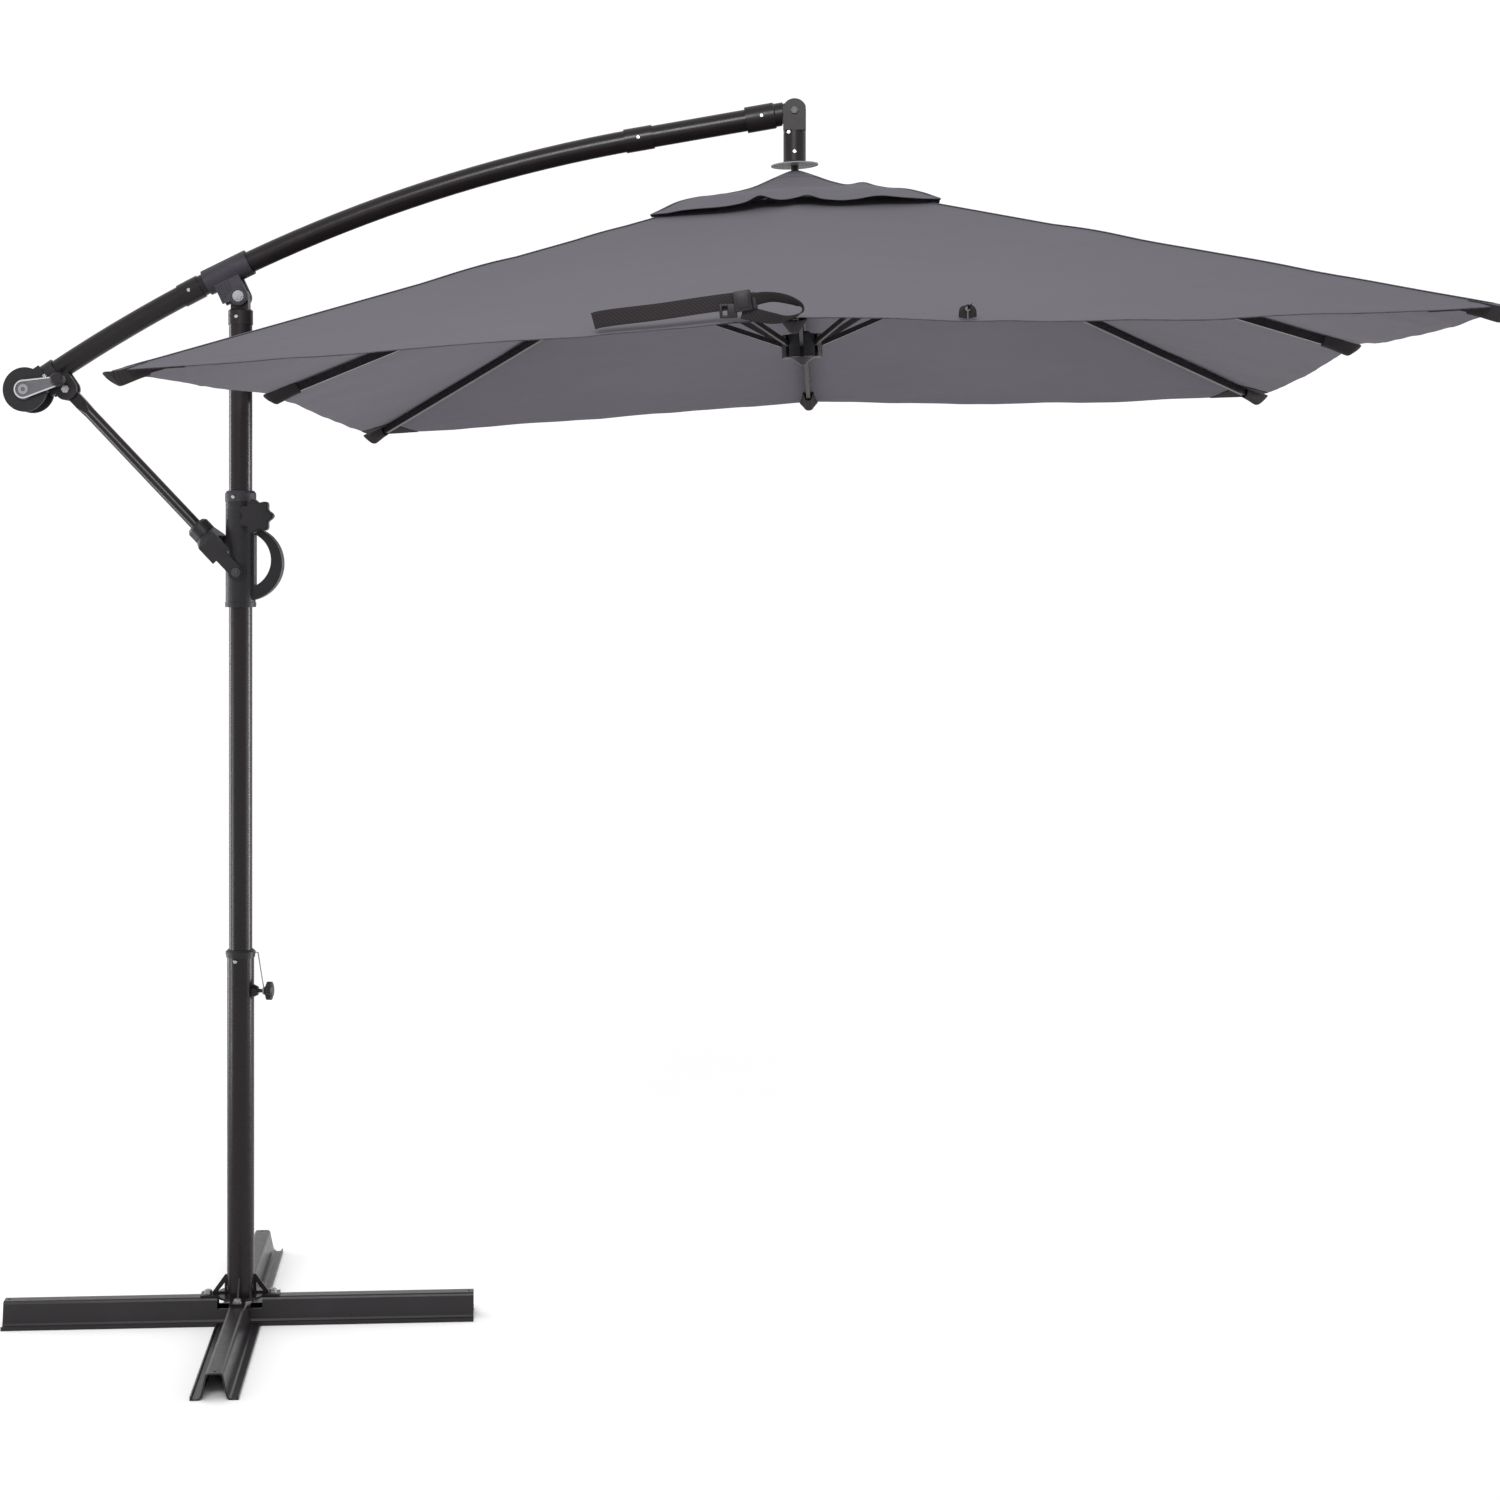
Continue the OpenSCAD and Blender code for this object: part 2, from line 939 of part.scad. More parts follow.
module lift_rope() {
  color([0.9, 0.9, 0.88])
    in_canopy()
      translate([0, 0, low_z - 6])
        cylinder(r = 2, h = 2425 - low_z + 6, $fn = 16);
}

module runner_hub() {
  color(c_plastic)
    in_canopy()
      difference() {
        union() {
          translate([0, 0, low_z - 28])
            cylinder(r = 43, h = 48);
          translate([0, 0, low_z + 20])
            cylinder(r1 = 24, r2 = 16, h = 7);
          translate([0, 0, low_z - 44])
            cylinder(r1 = 4, r2 = 26, h = 16);
        }
        for (i = [0:7])
          rotate([0, 0, 45 * i])
            translate([27, -strut_w / 2 - 0.5, low_z - 60])
              cube([40, strut_w + 1, 100]);
        translate([0, 0, low_z - 14])
          cylinder(r = 3, h = 60);
      }
}

// ---- ribs and struts ----

module rib(i) {
  color(c_frame)
    in_canopy()
      rotate([0, 0, 45 * i])
        translate([hub_r, 0, hinge_z(i)])
          rotate([0, slope(i), 0]) {
            difference() {
              union() {
                ycyl(7, strut_w);
                translate([0, -strut_w / 2, -6])
                  cube([26, strut_w, 12]);
                translate([24, -rib_w / 2, -rib_h / 2])
                  cube([rib_len(i) - 24 - 12, rib_w, rib_h]);
                translate([along(i) + 60, -rib_w / 2, -rib_h / 2 - rib_deep])
                  cube([rib_len(i) - 18 - along(i) - 60, rib_w, rib_deep + 2]);
                for (s = [-1, 1])
                  translate([along(i) - 10, s * (strut_w / 2 + 1.9) - 1.5, -strut_drop])
                    cube([20, 3, strut_drop]);
                for (s = [-1, 1])
                  translate([along(i), s * (strut_w / 2 + 1.9), -strut_drop])
                    ycyl(10, 3);
              }
              ycyl(2 + run, 40);
              translate([along(i) - 14, -strut_w / 2 - 0.4, -strut_drop - 14])
                cube([28, strut_w + 0.8, 20.9]);
            }
            translate([along(i), 0, -strut_drop])
              ycyl(2.5, 17);
            rib_cap(i);
          }
}

module rib_cap(i) {
  x = rib_len(i);
  hull() {
    translate([x - 20, -6.5, -12.4])
      cube([3, 13, 20.8]);
    translate([x - 6, -6.5, -1])
      cube([1, 13, 9.4]);
  }
}

module strut(i) {
  color(c_frame)
    in_canopy()
      rotate([0, 0, 45 * i])
        translate([hub_r, 0, low_z])
          rotate([0, -strut_ang(i), 0])
            difference() {
              union() {
                ycyl(6, strut_w);
                translate([0, -strut_w / 2, -strut_h / 2])
                  cube([strut_len(i), strut_w, strut_h]);
                translate([strut_len(i), 0, 0])
                  ycyl(6, strut_w);
              }
              translate([strut_len(i), 0, 0])
                ycyl(2.5 + run, 30);
              ycyl(2, 30);
            }
}

// ---- cloth ----

// the hem point on the middle line of the panel between rib i and its neighbour on side s
function hem_mid(sz, cz, h, s) = [h, s * h * tan(22.5), sz + (cz - sz) * tan(22.5)];

// one half of a sector: rib line to middle line, from fraction u0 to the hem
module half_sector(i, s, h, sz, cz, az, u0) {
  r = mid_rib(i) ? [h, 0, sz] : [h * sqrt(2), 0, cz];
  m = hem_mid(sz, cz, h, s);
  top = [0, 0, az];
  way = (r - m) / norm(r - m);
  q = [top + u0 * (r - top), r, m + way * cloth_gap, top + u0 * (m - top) + way * cloth_gap];
  up = [0, 0, cloth_t];
  p = concat(q, [for (v = q) v + up]);
  f = [[0, 1, 2, 3], [7, 6, 5, 4], [0, 4, 5, 1], [1, 5, 6, 2], [2, 6, 7, 3], [3, 7, 4, 0]];
  polyhedron(p, s > 0 ? f : [for (a = f) [a[3], a[2], a[1], a[0]]]);
}

module sector(i) {
  color(c_cloth)
    in_canopy()
      rotate([0, 0, 45 * i])
        for (s = [-1, 1]) {
          half_sector(i, s, half, side_z, corner_z, apex_z, 0.16);
          half_sector(i, s, vent_half, 2362, 2345, 2459, 0.06);
        }
}

module tie_strap() {
  color(c_cloth)
    in_canopy()
      rotate([0, 0, 270])
        translate([half + 5, -330, side_z - 8])
          rotate([-2, 0, 0])
            cube([3, 228, 30]);
}

module strap_buckle() {
  color(c_plastic)
    in_canopy()
      rotate([0, 0, 270])
        translate([half + 9, -100, side_z + 12]) {
          cube([9, 44, 32]);
          translate([0, -22, -9])
            cube([8, 24, 24]);
        }
}

module hem_loop() {
  color(c_cloth)
    in_canopy()
      rotate([0, 0, 270])
        translate([half + 3, 281, side_z - 12])
          difference() {
            cube([4, 32, 26]);
            translate([-1, 6, 8])
              cube([8, 20, 6]);
          }
}

// ---- drawing ----

leg_lower();
leg_upper();
mast_foot();
base_bolts();
tube_collar();
knob_tether();
base_lock_knob();
mast_tube();
mast_head();
slider_body();
slider_cap();
slider_bolts();
slider_lock_knob();
brace_boot();
brace_tube();
arm_clamp();
arm_pivot_bolt();
arm_rear_tube();
arm_front_tube();
arm_tip_tube();
arm_couplings();
crank_housing();
arm_screws();
elbow_tongue();
elbow_bolts();
reel_drum();
crank_lever();
crank_knob();
elbow_drop();
drop_screws();
mast_screw();
foot_screw();
slider_screw();
rain_disc();
top_hub();
lift_rope();
runner_hub();
tie_strap();
strap_buckle();
hem_loop();
for (i = [0:7])
  rib(i);
for (i = [0:7])
  strut(i);
for (i = [0:7])
  sector(i);
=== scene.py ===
"""Looks of the cantilever parasol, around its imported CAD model: +X along the arm, +Z up, metres."""
import json
import math

import bmesh
import bpy
import numpy as np
from mathutils import Matrix, Vector, noise


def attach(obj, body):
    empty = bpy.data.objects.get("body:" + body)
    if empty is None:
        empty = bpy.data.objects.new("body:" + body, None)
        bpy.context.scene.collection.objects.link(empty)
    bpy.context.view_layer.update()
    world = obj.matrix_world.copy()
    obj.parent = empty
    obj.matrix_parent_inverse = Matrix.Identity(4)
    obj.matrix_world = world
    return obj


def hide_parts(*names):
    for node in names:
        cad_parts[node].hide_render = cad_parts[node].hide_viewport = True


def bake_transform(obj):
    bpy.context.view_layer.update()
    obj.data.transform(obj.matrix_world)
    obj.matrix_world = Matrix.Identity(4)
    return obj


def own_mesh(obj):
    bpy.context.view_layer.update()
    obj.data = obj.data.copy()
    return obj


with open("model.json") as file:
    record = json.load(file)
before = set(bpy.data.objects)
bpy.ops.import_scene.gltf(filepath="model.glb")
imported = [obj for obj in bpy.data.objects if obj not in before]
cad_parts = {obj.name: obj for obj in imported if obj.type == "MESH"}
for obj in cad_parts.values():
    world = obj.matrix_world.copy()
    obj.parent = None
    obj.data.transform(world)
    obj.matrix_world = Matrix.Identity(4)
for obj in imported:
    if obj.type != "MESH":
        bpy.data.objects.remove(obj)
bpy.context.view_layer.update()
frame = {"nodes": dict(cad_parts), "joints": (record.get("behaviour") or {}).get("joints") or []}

# ---- the canopy's driving sizes, as the CAD model has them ----
joints = {j["name"]: j for j in frame["joints"]}
ELBOW_X = joints["elbow_pivot"]["pos_m"][0]
DOWN = Vector(joints["runner_travel"]["axis"])
LEAN = -math.atan2(DOWN.x, -DOWN.z)
DISC_Z = 2.470
HALF = 1.146
APEX_Z, SIDE_Z, CORNER_Z = 2.442, 2.038, 2.003
VENT_HALF = 0.290
VENT_APEX_Z, VENT_SIDE_Z, VENT_CORNER_Z = 2.459, 2.356, 2.341
HUB_R = 0.040
CLOTH_UP = 0.0095
TIP_OVER = 0.009
ROPE_LOW_Z, ROPE_HIGH_Z = 2.084, 2.425
SECTORS = 8
MID = math.tan(math.radians(22.5))

# thickness of the cloth
CLOTH_T = 0.0009
HEM_W, VENT_HEM_W = 0.022, 0.014
SEAM_W, VENT_SEAM_W = 0.011, 0.009
# front plane of the crank lever's raised rim, less a little
LEVER_FACE = -0.0395

canopy_frame = (
    Matrix.Translation((ELBOW_X, 0, DISC_Z))
    @ Matrix.Rotation(LEAN, 4, "Y")
    @ Matrix.Translation((0, 0, -DISC_Z))
)


def turned(i):
    """The canopy's frame turned so that X runs out along rib i."""
    return canopy_frame @ Matrix.Rotation(math.radians(45 * i), 4, "Z")


def tip_size(i):
    """Plan radius and height of the cloth at the tip of rib i."""
    return (HALF, SIDE_Z) if i % 2 == 0 else (HALF * math.sqrt(2), CORNER_Z)


def rib_frame(i):
    """Rib i's own frame, X along the rib and Z away from it into the cloth, and the rib's length."""
    radius, height = tip_size(i)
    slope = math.atan2(APEX_Z - height, radius)
    hinge_z = APEX_Z - HUB_R * math.tan(slope) - CLOTH_UP / math.cos(slope)
    place = turned(i) @ Matrix.Translation((HUB_R, 0, hinge_z)) @ Matrix.Rotation(slope, 4, "Y")
    return place, (radius - HUB_R) / math.cos(slope) + TIP_OVER


# ---- materials ----

def new_material(name, color, roughness, metallic=0.0):
    mat = bpy.data.materials.new(name)
    mat.use_nodes = True
    shader = mat.node_tree.nodes["Principled BSDF"]
    shader.inputs["Base Color"].default_value = (*color, 1)
    shader.inputs["Roughness"].default_value = roughness
    shader.inputs["Metallic"].default_value = metallic
    return mat, mat.node_tree, shader


def add(tree, kind, **values):
    node = tree.nodes.new(kind)
    for key, value in values.items():
        if key in node.inputs:
            node.inputs[key].default_value = value
        else:
            setattr(node, key, value)
    return node


def stretched(tree, output, scale):
    """Texture coordinates stretched by scale."""
    coords = add(tree, "ShaderNodeTexCoord")
    mapping = add(tree, "ShaderNodeMapping", Scale=scale)
    tree.links.new(coords.outputs[output], mapping.inputs["Vector"])
    return mapping.outputs["Vector"]


def speckle(tree, vector, scale, detail=3.0, rough=0.55):
    found = add(tree, "ShaderNodeTexNoise", Scale=scale, Detail=detail, Roughness=rough)
    tree.links.new(vector, found.inputs["Vector"])
    return found.outputs["Fac"]


def ramp(tree, factor, stops):
    """A colour ramp: stops are (position, colour or grey)."""
    made = add(tree, "ShaderNodeValToRGB")
    tree.links.new(factor, made.inputs["Fac"])
    elements = made.color_ramp.elements
    while len(elements) < len(stops):
        elements.new(0.5)
    for element, (position, color) in zip(elements, stops):
        element.position = position
        element.color = (*color, 1) if isinstance(color, tuple) else (color, color, color, 1)
    return made.outputs["Color"]


def bump(tree, shader, height, distance, strength=1.0, under=None):
    made = add(tree, "ShaderNodeBump", Strength=strength, Distance=distance)
    tree.links.new(height, made.inputs["Height"])
    if under is not None:
        tree.links.new(under, made.inputs["Normal"])
    tree.links.new(made.outputs["Normal"], shader.inputs["Normal"])
    return made.outputs["Normal"]


def shade(color, factor):
    return tuple(min(1.0, c * factor) for c in color)


def painted(name, color, roughness, grain=700.0, depth=0.00006, specular=0.25):
    """Powder coat or paint: orange-peel grain, faint blotches and rubbed patches."""
    mat, tree, shader = new_material(name, color, roughness)
    shader.inputs["Specular IOR Level"].default_value = specular
    where = stretched(tree, "Object", (1, 1, 1))
    blotch = speckle(tree, where, 9.0, 5.0, 0.6)
    stops = [(0.3, shade(color, 0.86)), (0.55, color), (0.78, shade(color, 1.22))]
    tree.links.new(ramp(tree, blotch, stops), shader.inputs["Base Color"])
    rubbed = speckle(tree, where, 60.0, 4.0, 0.7)
    spread = [(0.25, roughness - 0.06), (0.75, roughness + 0.07)]
    tree.links.new(ramp(tree, rubbed, spread), shader.inputs["Roughness"])
    bump(tree, shader, speckle(tree, where, grain, 2.0), depth, 0.35)
    return mat


def moulded(name, color, roughness):
    """Moulded plastic: spark-eroded grain with faint flow lines."""
    mat, tree, shader = new_material(name, color, roughness)
    shader.inputs["Specular IOR Level"].default_value = 0.2
    where = stretched(tree, "Object", (1, 1, 1))
    flow = speckle(tree, stretched(tree, "Object", (6, 6, 22)), 3.0, 4.0, 0.6)
    stops = [(0.3, shade(color, 0.88)), (0.7, shade(color, 1.16))]
    tree.links.new(ramp(tree, flow, stops), shader.inputs["Base Color"])
    spread = [(0.3, roughness - 0.05), (0.7, roughness + 0.06)]
    tree.links.new(ramp(tree, speckle(tree, where, 90.0), spread), shader.inputs["Roughness"])
    grain = add(tree, "ShaderNodeTexVoronoi", Scale=1400.0)
    tree.links.new(where, grain.inputs["Vector"])
    bump(tree, shader, grain.outputs["Distance"], 0.00005, 0.45)
    return mat


def plated(name, color, roughness):
    """Zinc plate or brushed steel: fine streaks and a mottled spangle."""
    mat, tree, shader = new_material(name, color, roughness, 1.0)
    streak = speckle(tree, stretched(tree, "Object", (900, 60, 60)), 1.0, 3.0)
    where = stretched(tree, "Object", (1, 1, 1))
    spangle = speckle(tree, where, 130.0, 2.0)
    stops = [(0.3, shade(color, 0.78)), (0.7, shade(color, 1.1))]
    tree.links.new(ramp(tree, spangle, stops), shader.inputs["Base Color"])
    spread = [(0.3, roughness - 0.08), (0.7, roughness + 0.12)]
    tree.links.new(ramp(tree, streak, spread), shader.inputs["Roughness"])
    bump(tree, shader, streak, 0.00003, 0.5)
    return mat


def rimmed(name, rim, recess, face_y):
    """Cast zinc: brighter on the rim in front of face_y, darker in the recess behind it."""
    mat, tree, shader = new_material(name, rim, 0.36, 1.0)
    where = add(tree, "ShaderNodeTexCoord")
    split = add(tree, "ShaderNodeSeparateXYZ")
    tree.links.new(where.outputs["Object"], split.inputs["Vector"])
    depth = add(tree, "ShaderNodeMapRange")
    recess_deep = 0.0012
    depth.inputs["From Min"].default_value = face_y
    depth.inputs["From Max"].default_value = face_y + recess_deep
    depth.inputs["To Min"].default_value = 0.0
    depth.inputs["To Max"].default_value = 1.0
    tree.links.new(split.outputs["Y"], depth.inputs["Value"])
    cloud = speckle(tree, stretched(tree, "Object", (1, 1, 1)), 60.0, 4.0)
    mixed = add(tree, "ShaderNodeMath", operation="MULTIPLY_ADD")
    mixed.inputs[1].default_value = 0.25
    tree.links.new(cloud, mixed.inputs[0])
    tree.links.new(depth.outputs["Result"], mixed.inputs[2])
    stops = [(0.12, rim), (0.8, recess)]
    tree.links.new(ramp(tree, mixed.outputs["Value"], stops), shader.inputs["Base Color"])
    tree.links.new(ramp(tree, cloud, [(0.3, 0.3), (0.7, 0.44)]), shader.inputs["Roughness"])
    bump(tree, shader, speckle(tree, stretched(tree, "Object", (1, 1, 1)), 900.0, 2.0), 0.00004, 0.5)
    return mat


def woven(name, color, pitch=0.0011, depth=0.00009, sheen=0.03, slub=0.05):
    """Woven cloth: warp and weft threads over each other, slubs along the warp, and soft fading."""
    mat, tree, shader = new_material(name, color, 0.86)
    shader.inputs["Sheen Weight"].default_value = sheen
    shader.inputs["Sheen Roughness"].default_value = 0.45
    shader.inputs["Specular IOR Level"].default_value = 0.12
    flat = stretched(tree, "UV", (1, 1, 1))
    threads = []
    for way in ("X", "Y"):
        band = add(tree, "ShaderNodeTexWave", Scale=0.314 / pitch, bands_direction=way)
        tree.links.new(flat, band.inputs["Vector"])
        threads.append(band.outputs["Fac"])
    weave = add(tree, "ShaderNodeMath", operation="MULTIPLY")
    tree.links.new(threads[0], weave.inputs[0])
    tree.links.new(threads[1], weave.inputs[1])
    fade = speckle(tree, flat, 3.5, 4.0, 0.6)
    slubs = speckle(tree, stretched(tree, "UV", (5, 260, 1)), 1.0, 3.0)
    mixed = add(tree, "ShaderNodeMix", data_type="FLOAT")
    mixed.inputs["Factor"].default_value = 0.5
    tree.links.new(fade, mixed.inputs["A"])
    tree.links.new(slubs, mixed.inputs["B"])
    stops = [(0.36, shade(color, 1 - slub)), (0.64, shade(color, 1 + slub))]
    tree.links.new(ramp(tree, mixed.outputs["Result"], stops), shader.inputs["Base Color"])
    spread = [(0.3, 0.8), (0.7, 0.92)]
    tree.links.new(ramp(tree, fade, spread), shader.inputs["Roughness"])
    first = bump(tree, shader, weave.outputs["Value"], depth, 0.6)
    bump(tree, shader, slubs, 0.0002, 0.25, first)
    return mat


def stitched(name, color, thread, pitch, rows, width):
    """A woven tape with rows of stitches: dashes of thread along the length of its UV map."""
    mat = woven(name, color, 0.0009, 0.00012, 0.03, 0.08)
    tree = mat.node_tree
    shader = tree.nodes["Principled BSDF"]
    under_color = shader.inputs["Base Color"].links[0].from_socket
    under_normal = shader.inputs["Normal"].links[0].from_socket
    split = add(tree, "ShaderNodeSeparateXYZ")
    tree.links.new(stretched(tree, "UV", (1, 1, 1)), split.inputs["Vector"])

    def calc(operation, a, b):
        node = add(tree, "ShaderNodeMath", operation=operation)
        for k, value in enumerate((a, b)):
            if isinstance(value, (int, float)):
                node.inputs[k].default_value = value
            else:
                tree.links.new(value, node.inputs[k])
        return node.outputs["Value"]

    turn = calc("MULTIPLY", split.outputs["X"], 2 * math.pi / pitch)
    dash = calc("GREATER_THAN", calc("SINE", turn, 0.0), -0.45)
    line = None
    for row in rows:
        near = calc("LESS_THAN", calc("ABSOLUTE", calc("SUBTRACT", split.outputs["Y"], row), 0.0), width)
        line = near if line is None else calc("MAXIMUM", line, near)
    stitch = calc("MULTIPLY", dash, line)
    mix = add(tree, "ShaderNodeMix", data_type="RGBA")
    tree.links.new(stitch, mix.inputs[0])
    tree.links.new(under_color, mix.inputs[6])
    mix.inputs[7].default_value = (*thread, 1)
    tree.links.new(mix.outputs[2], shader.inputs["Base Color"])
    bump(tree, shader, stitch, 0.0005, 0.8, under_normal)
    return mat


def ribbed(name, color, pitch):
    """Webbing: a coarse ribbed weave across its width."""
    mat, tree, shader = new_material(name, color, 0.78)
    shader.inputs["Specular IOR Level"].default_value = 0.15
    flat = stretched(tree, "UV", (1, 1, 1))
    rib = add(tree, "ShaderNodeTexWave", Scale=0.314 / pitch, bands_direction="X")
    tree.links.new(flat, rib.inputs["Vector"])
    twill = add(tree, "ShaderNodeTexWave", Scale=0.314 / (2.2 * pitch), bands_direction="DIAGONAL")
    tree.links.new(flat, twill.inputs["Vector"])
    stops = [(0.2, shade(color, 0.75)), (0.8, shade(color, 1.2))]
    tree.links.new(ramp(tree, twill.outputs["Fac"], stops), shader.inputs["Base Color"])
    spread = [(0.2, 0.72), (0.8, 0.88)]
    tree.links.new(ramp(tree, rib.outputs["Fac"], spread), shader.inputs["Roughness"])
    first = bump(tree, shader, rib.outputs["Fac"], 0.0002, 0.7)
    bump(tree, shader, twill.outputs["Fac"], 0.0001, 0.5, first)
    return mat


def fibrous(name, color):
    """Twisted rope yarn: fine fibres along each strand."""
    mat, tree, shader = new_material(name, color, 0.8)
    fibres = speckle(tree, stretched(tree, "UV", (60, 2400, 1)), 1.0, 3.0)
    stops = [(0.3, shade(color, 0.7)), (0.7, shade(color, 1.1))]
    tree.links.new(ramp(tree, fibres, stops), shader.inputs["Base Color"])
    bump(tree, shader, fibres, 0.0001, 0.6)
    return mat


FRAME_DARK = (0.0095, 0.0070, 0.0080)
paint = painted("powder_coat", FRAME_DARK, 0.27, 620.0, 0.000012, 0.22)
leg_paint = painted("powder_coat_legs", (0.014, 0.0115, 0.0135), 0.32, 620.0, 0.00003, 0.3)
cast = painted("painted_casting", (0.011, 0.0085, 0.010), 0.34, 420.0, 0.0001, 0.2)
rib_paint = painted("rib_paint", (0.013, 0.011, 0.0125), 0.28, 520.0, 0.00004, 0.25)
black = moulded("black_plastic", (0.013, 0.0115, 0.0135), 0.42)
dark_grey = moulded("dark_grey_plastic", (0.028, 0.026, 0.033), 0.48)
disc_grey = moulded("grey_plastic", (0.20, 0.20, 0.21), 0.42)
zinc = plated("zinc_plate", (0.34, 0.34, 0.355), 0.40)
bright_zinc = plated("bright_zinc_plate", (0.45, 0.45, 0.465), 0.32)
dull_zinc = plated("dull_zinc_plate", (0.25, 0.25, 0.26), 0.42)
dark_steel = plated("blackened_steel", (0.06, 0.058, 0.062), 0.44)
lever_steel = rimmed("cast_zinc", (0.50, 0.50, 0.52), (0.13, 0.13, 0.14), LEVER_FACE)
CLOTH = (0.090, 0.0845, 0.099)
cloth = woven("polyester_cloth", CLOTH)
seam_cloth = stitched("seam_tape", shade(CLOTH, 0.96), shade(CLOTH, 0.8), 0.0042, (-0.0038, 0.0038), 0.0004)
pocket_cloth = stitched("pocket_cloth", (0.020, 0.017, 0.019), (0.05, 0.045, 0.045), 0.004, (0.004,), 0.0005)
web = ribbed("webbing", (0.017, 0.014, 0.0155), 0.0016)
rope_yarn = fibrous("rope_yarn", (0.72, 0.71, 0.68))

finishes = {
    "leg_lower": leg_paint, "leg_upper": leg_paint, "mast_foot": paint, "base_bolts": zinc,
    "foot_screw": bright_zinc, "mast_screw": bright_zinc, "slider_screw": bright_zinc,
    "drop_screws": bright_zinc,
    "tube_collar": black, "knob_tether": disc_grey, "base_lock_knob": black,
    "mast_tube": paint, "mast_head": cast,
    "slider_body": black, "slider_cap": dark_grey, "slider_bolts": dark_steel, "slider_lock_knob": black,
    "brace_boot": black, "brace_tube": paint,
    "arm_clamp": dark_grey, "arm_pivot_bolt": dull_zinc, "arm_rear_tube": paint, "arm_front_tube": paint,
    "arm_tip_tube": paint, "arm_couplings": paint, "crank_housing": black, "arm_screws": bright_zinc,
    "elbow_tongue": cast, "elbow_bolts": dark_steel, "elbow_drop": cast,
    "reel_drum": dark_grey, "crank_lever": lever_steel, "crank_knob": black,
    "rain_disc": disc_grey, "top_hub": black, "runner_hub": black,
}
for i in range(SECTORS):
    finishes[f"rib_{i}"] = rib_paint
    finishes[f"strut_{i}"] = rib_paint

# edges of the CAD pieces are broken by a small bevel: its width in metres
BEVELS = {
    "slider_body": 0.0012, "slider_cap": 0.0008, "crank_housing": 0.001, "arm_clamp": 0.001,
    "brace_boot": 0.002, "elbow_drop": 0.002, "elbow_tongue": 0.0015, "mast_head": 0.001,
    "crank_lever": 0.0006, "crank_knob": 0.0006, "tube_collar": 0.0006, "runner_hub": 0.0006,
    "top_hub": 0.0006, "mast_foot": 0.0008, "leg_lower": 0.0007, "leg_upper": 0.0007,
    "arm_couplings": 0.0006, "slider_lock_knob": 0.0014,
}


def dress(name, mat):
    """Gives a CAD node its material, and breaks its edges if BEVELS names it."""
    piece = frame["nodes"][name]
    for k in range(len(piece.material_slots)):
        piece.material_slots[k].material = mat
    if name in BEVELS:
        edge = piece.modifiers.new("edge", "BEVEL")
        edge.width = BEVELS[name]
        edge.segments = 2
        edge.limit_method = "ANGLE"
        edge.angle_limit = math.radians(40)
        edge.harden_normals = True


for node_name, finish in finishes.items():
    dress(node_name, finish)


# ---- mesh helpers ----

def new_piece(name, points, faces, mat, uvs=None, place=None, smooth=True):
    """A mesh object from points and faces; uvs has one pair for each corner of each face."""
    mesh = bpy.data.meshes.new(name)
    mesh.from_pydata([tuple(p) for p in points], [], faces)
    if uvs is not None:
        layer = mesh.uv_layers.new(name="UVMap")
        layer.data.foreach_set("uv", np.array(uvs, np.float32).ravel())
    if place is not None:
        mesh.transform(place)
    mesh.polygons.foreach_set("use_smooth", [smooth] * len(mesh.polygons))
    mesh.materials.append(mat)
    mesh.update()
    piece = bpy.data.objects.new(name, mesh)
    bpy.context.scene.collection.objects.link(piece)
    return piece


def applied(piece):
    """The piece with its modifiers made part of its mesh."""
    bpy.context.view_layer.update()
    final = bpy.data.meshes.new_from_object(
        piece.evaluated_get(bpy.context.evaluated_depsgraph_get())
    )
    piece.modifiers.clear()
    piece.data = final
    return piece


def thickened(piece, thickness, offset=0.0):
    """The piece as a shell: offset -1 is against its normals, 0 is to both sides and 1 is along them."""
    solid = piece.modifiers.new("thickness", "SOLIDIFY")
    solid.thickness = thickness
    solid.offset = offset
    return applied(piece)


def sweep(path, section):
    """Points, faces and UVs of a closed section of (across, up) pairs, swept along path and capped.
    The path has (centre, across, up) triples."""
    points, faces, uvs = [], [], []
    count = len(section)
    run = 0.0
    around = [0.0]
    for a, b in zip(section, section[1:] + section[:1]):
        around.append(around[-1] + math.dist(a, b))
    runs = []
    for k, (centre, across, up) in enumerate(path):
        if k:
            run += (centre - path[k - 1][0]).length
        runs.append(run)
        points += [centre + across * s[0] + up * s[1] for s in section]
    for k in range(len(path) - 1):
        for j in range(count):
            n = (j + 1) % count
            faces.append((k * count + j, k * count + n, (k + 1) * count + n, (k + 1) * count + j))
            uvs += [(runs[k], around[j]), (runs[k], around[j + 1])]
            uvs += [(runs[k + 1], around[j + 1]), (runs[k + 1], around[j])]
    last = (len(path) - 1) * count
    faces.append(tuple(reversed(range(count))))
    faces.append(tuple(range(last, last + count)))
    uvs += [(0, 0)] * (2 * count)
    return points, faces, uvs


def smoothstep(x, low, high):
    t = np.clip((x - low) / (high - low), 0, 1)
    return t * t * (3 - 2 * t)


# ---- the cloth: one curved surface over the whole canopy, cut between the ribs ----

def noise_at(x, y, scale, seed):
    """Smooth noise for arrays of places, from about -1 to 1."""
    flat = zip(np.ravel(x), np.ravel(y))
    found = [noise.noise(Vector((a * scale, b * scale, seed))) for a, b in flat]
    return np.array(found).reshape(np.shape(x))


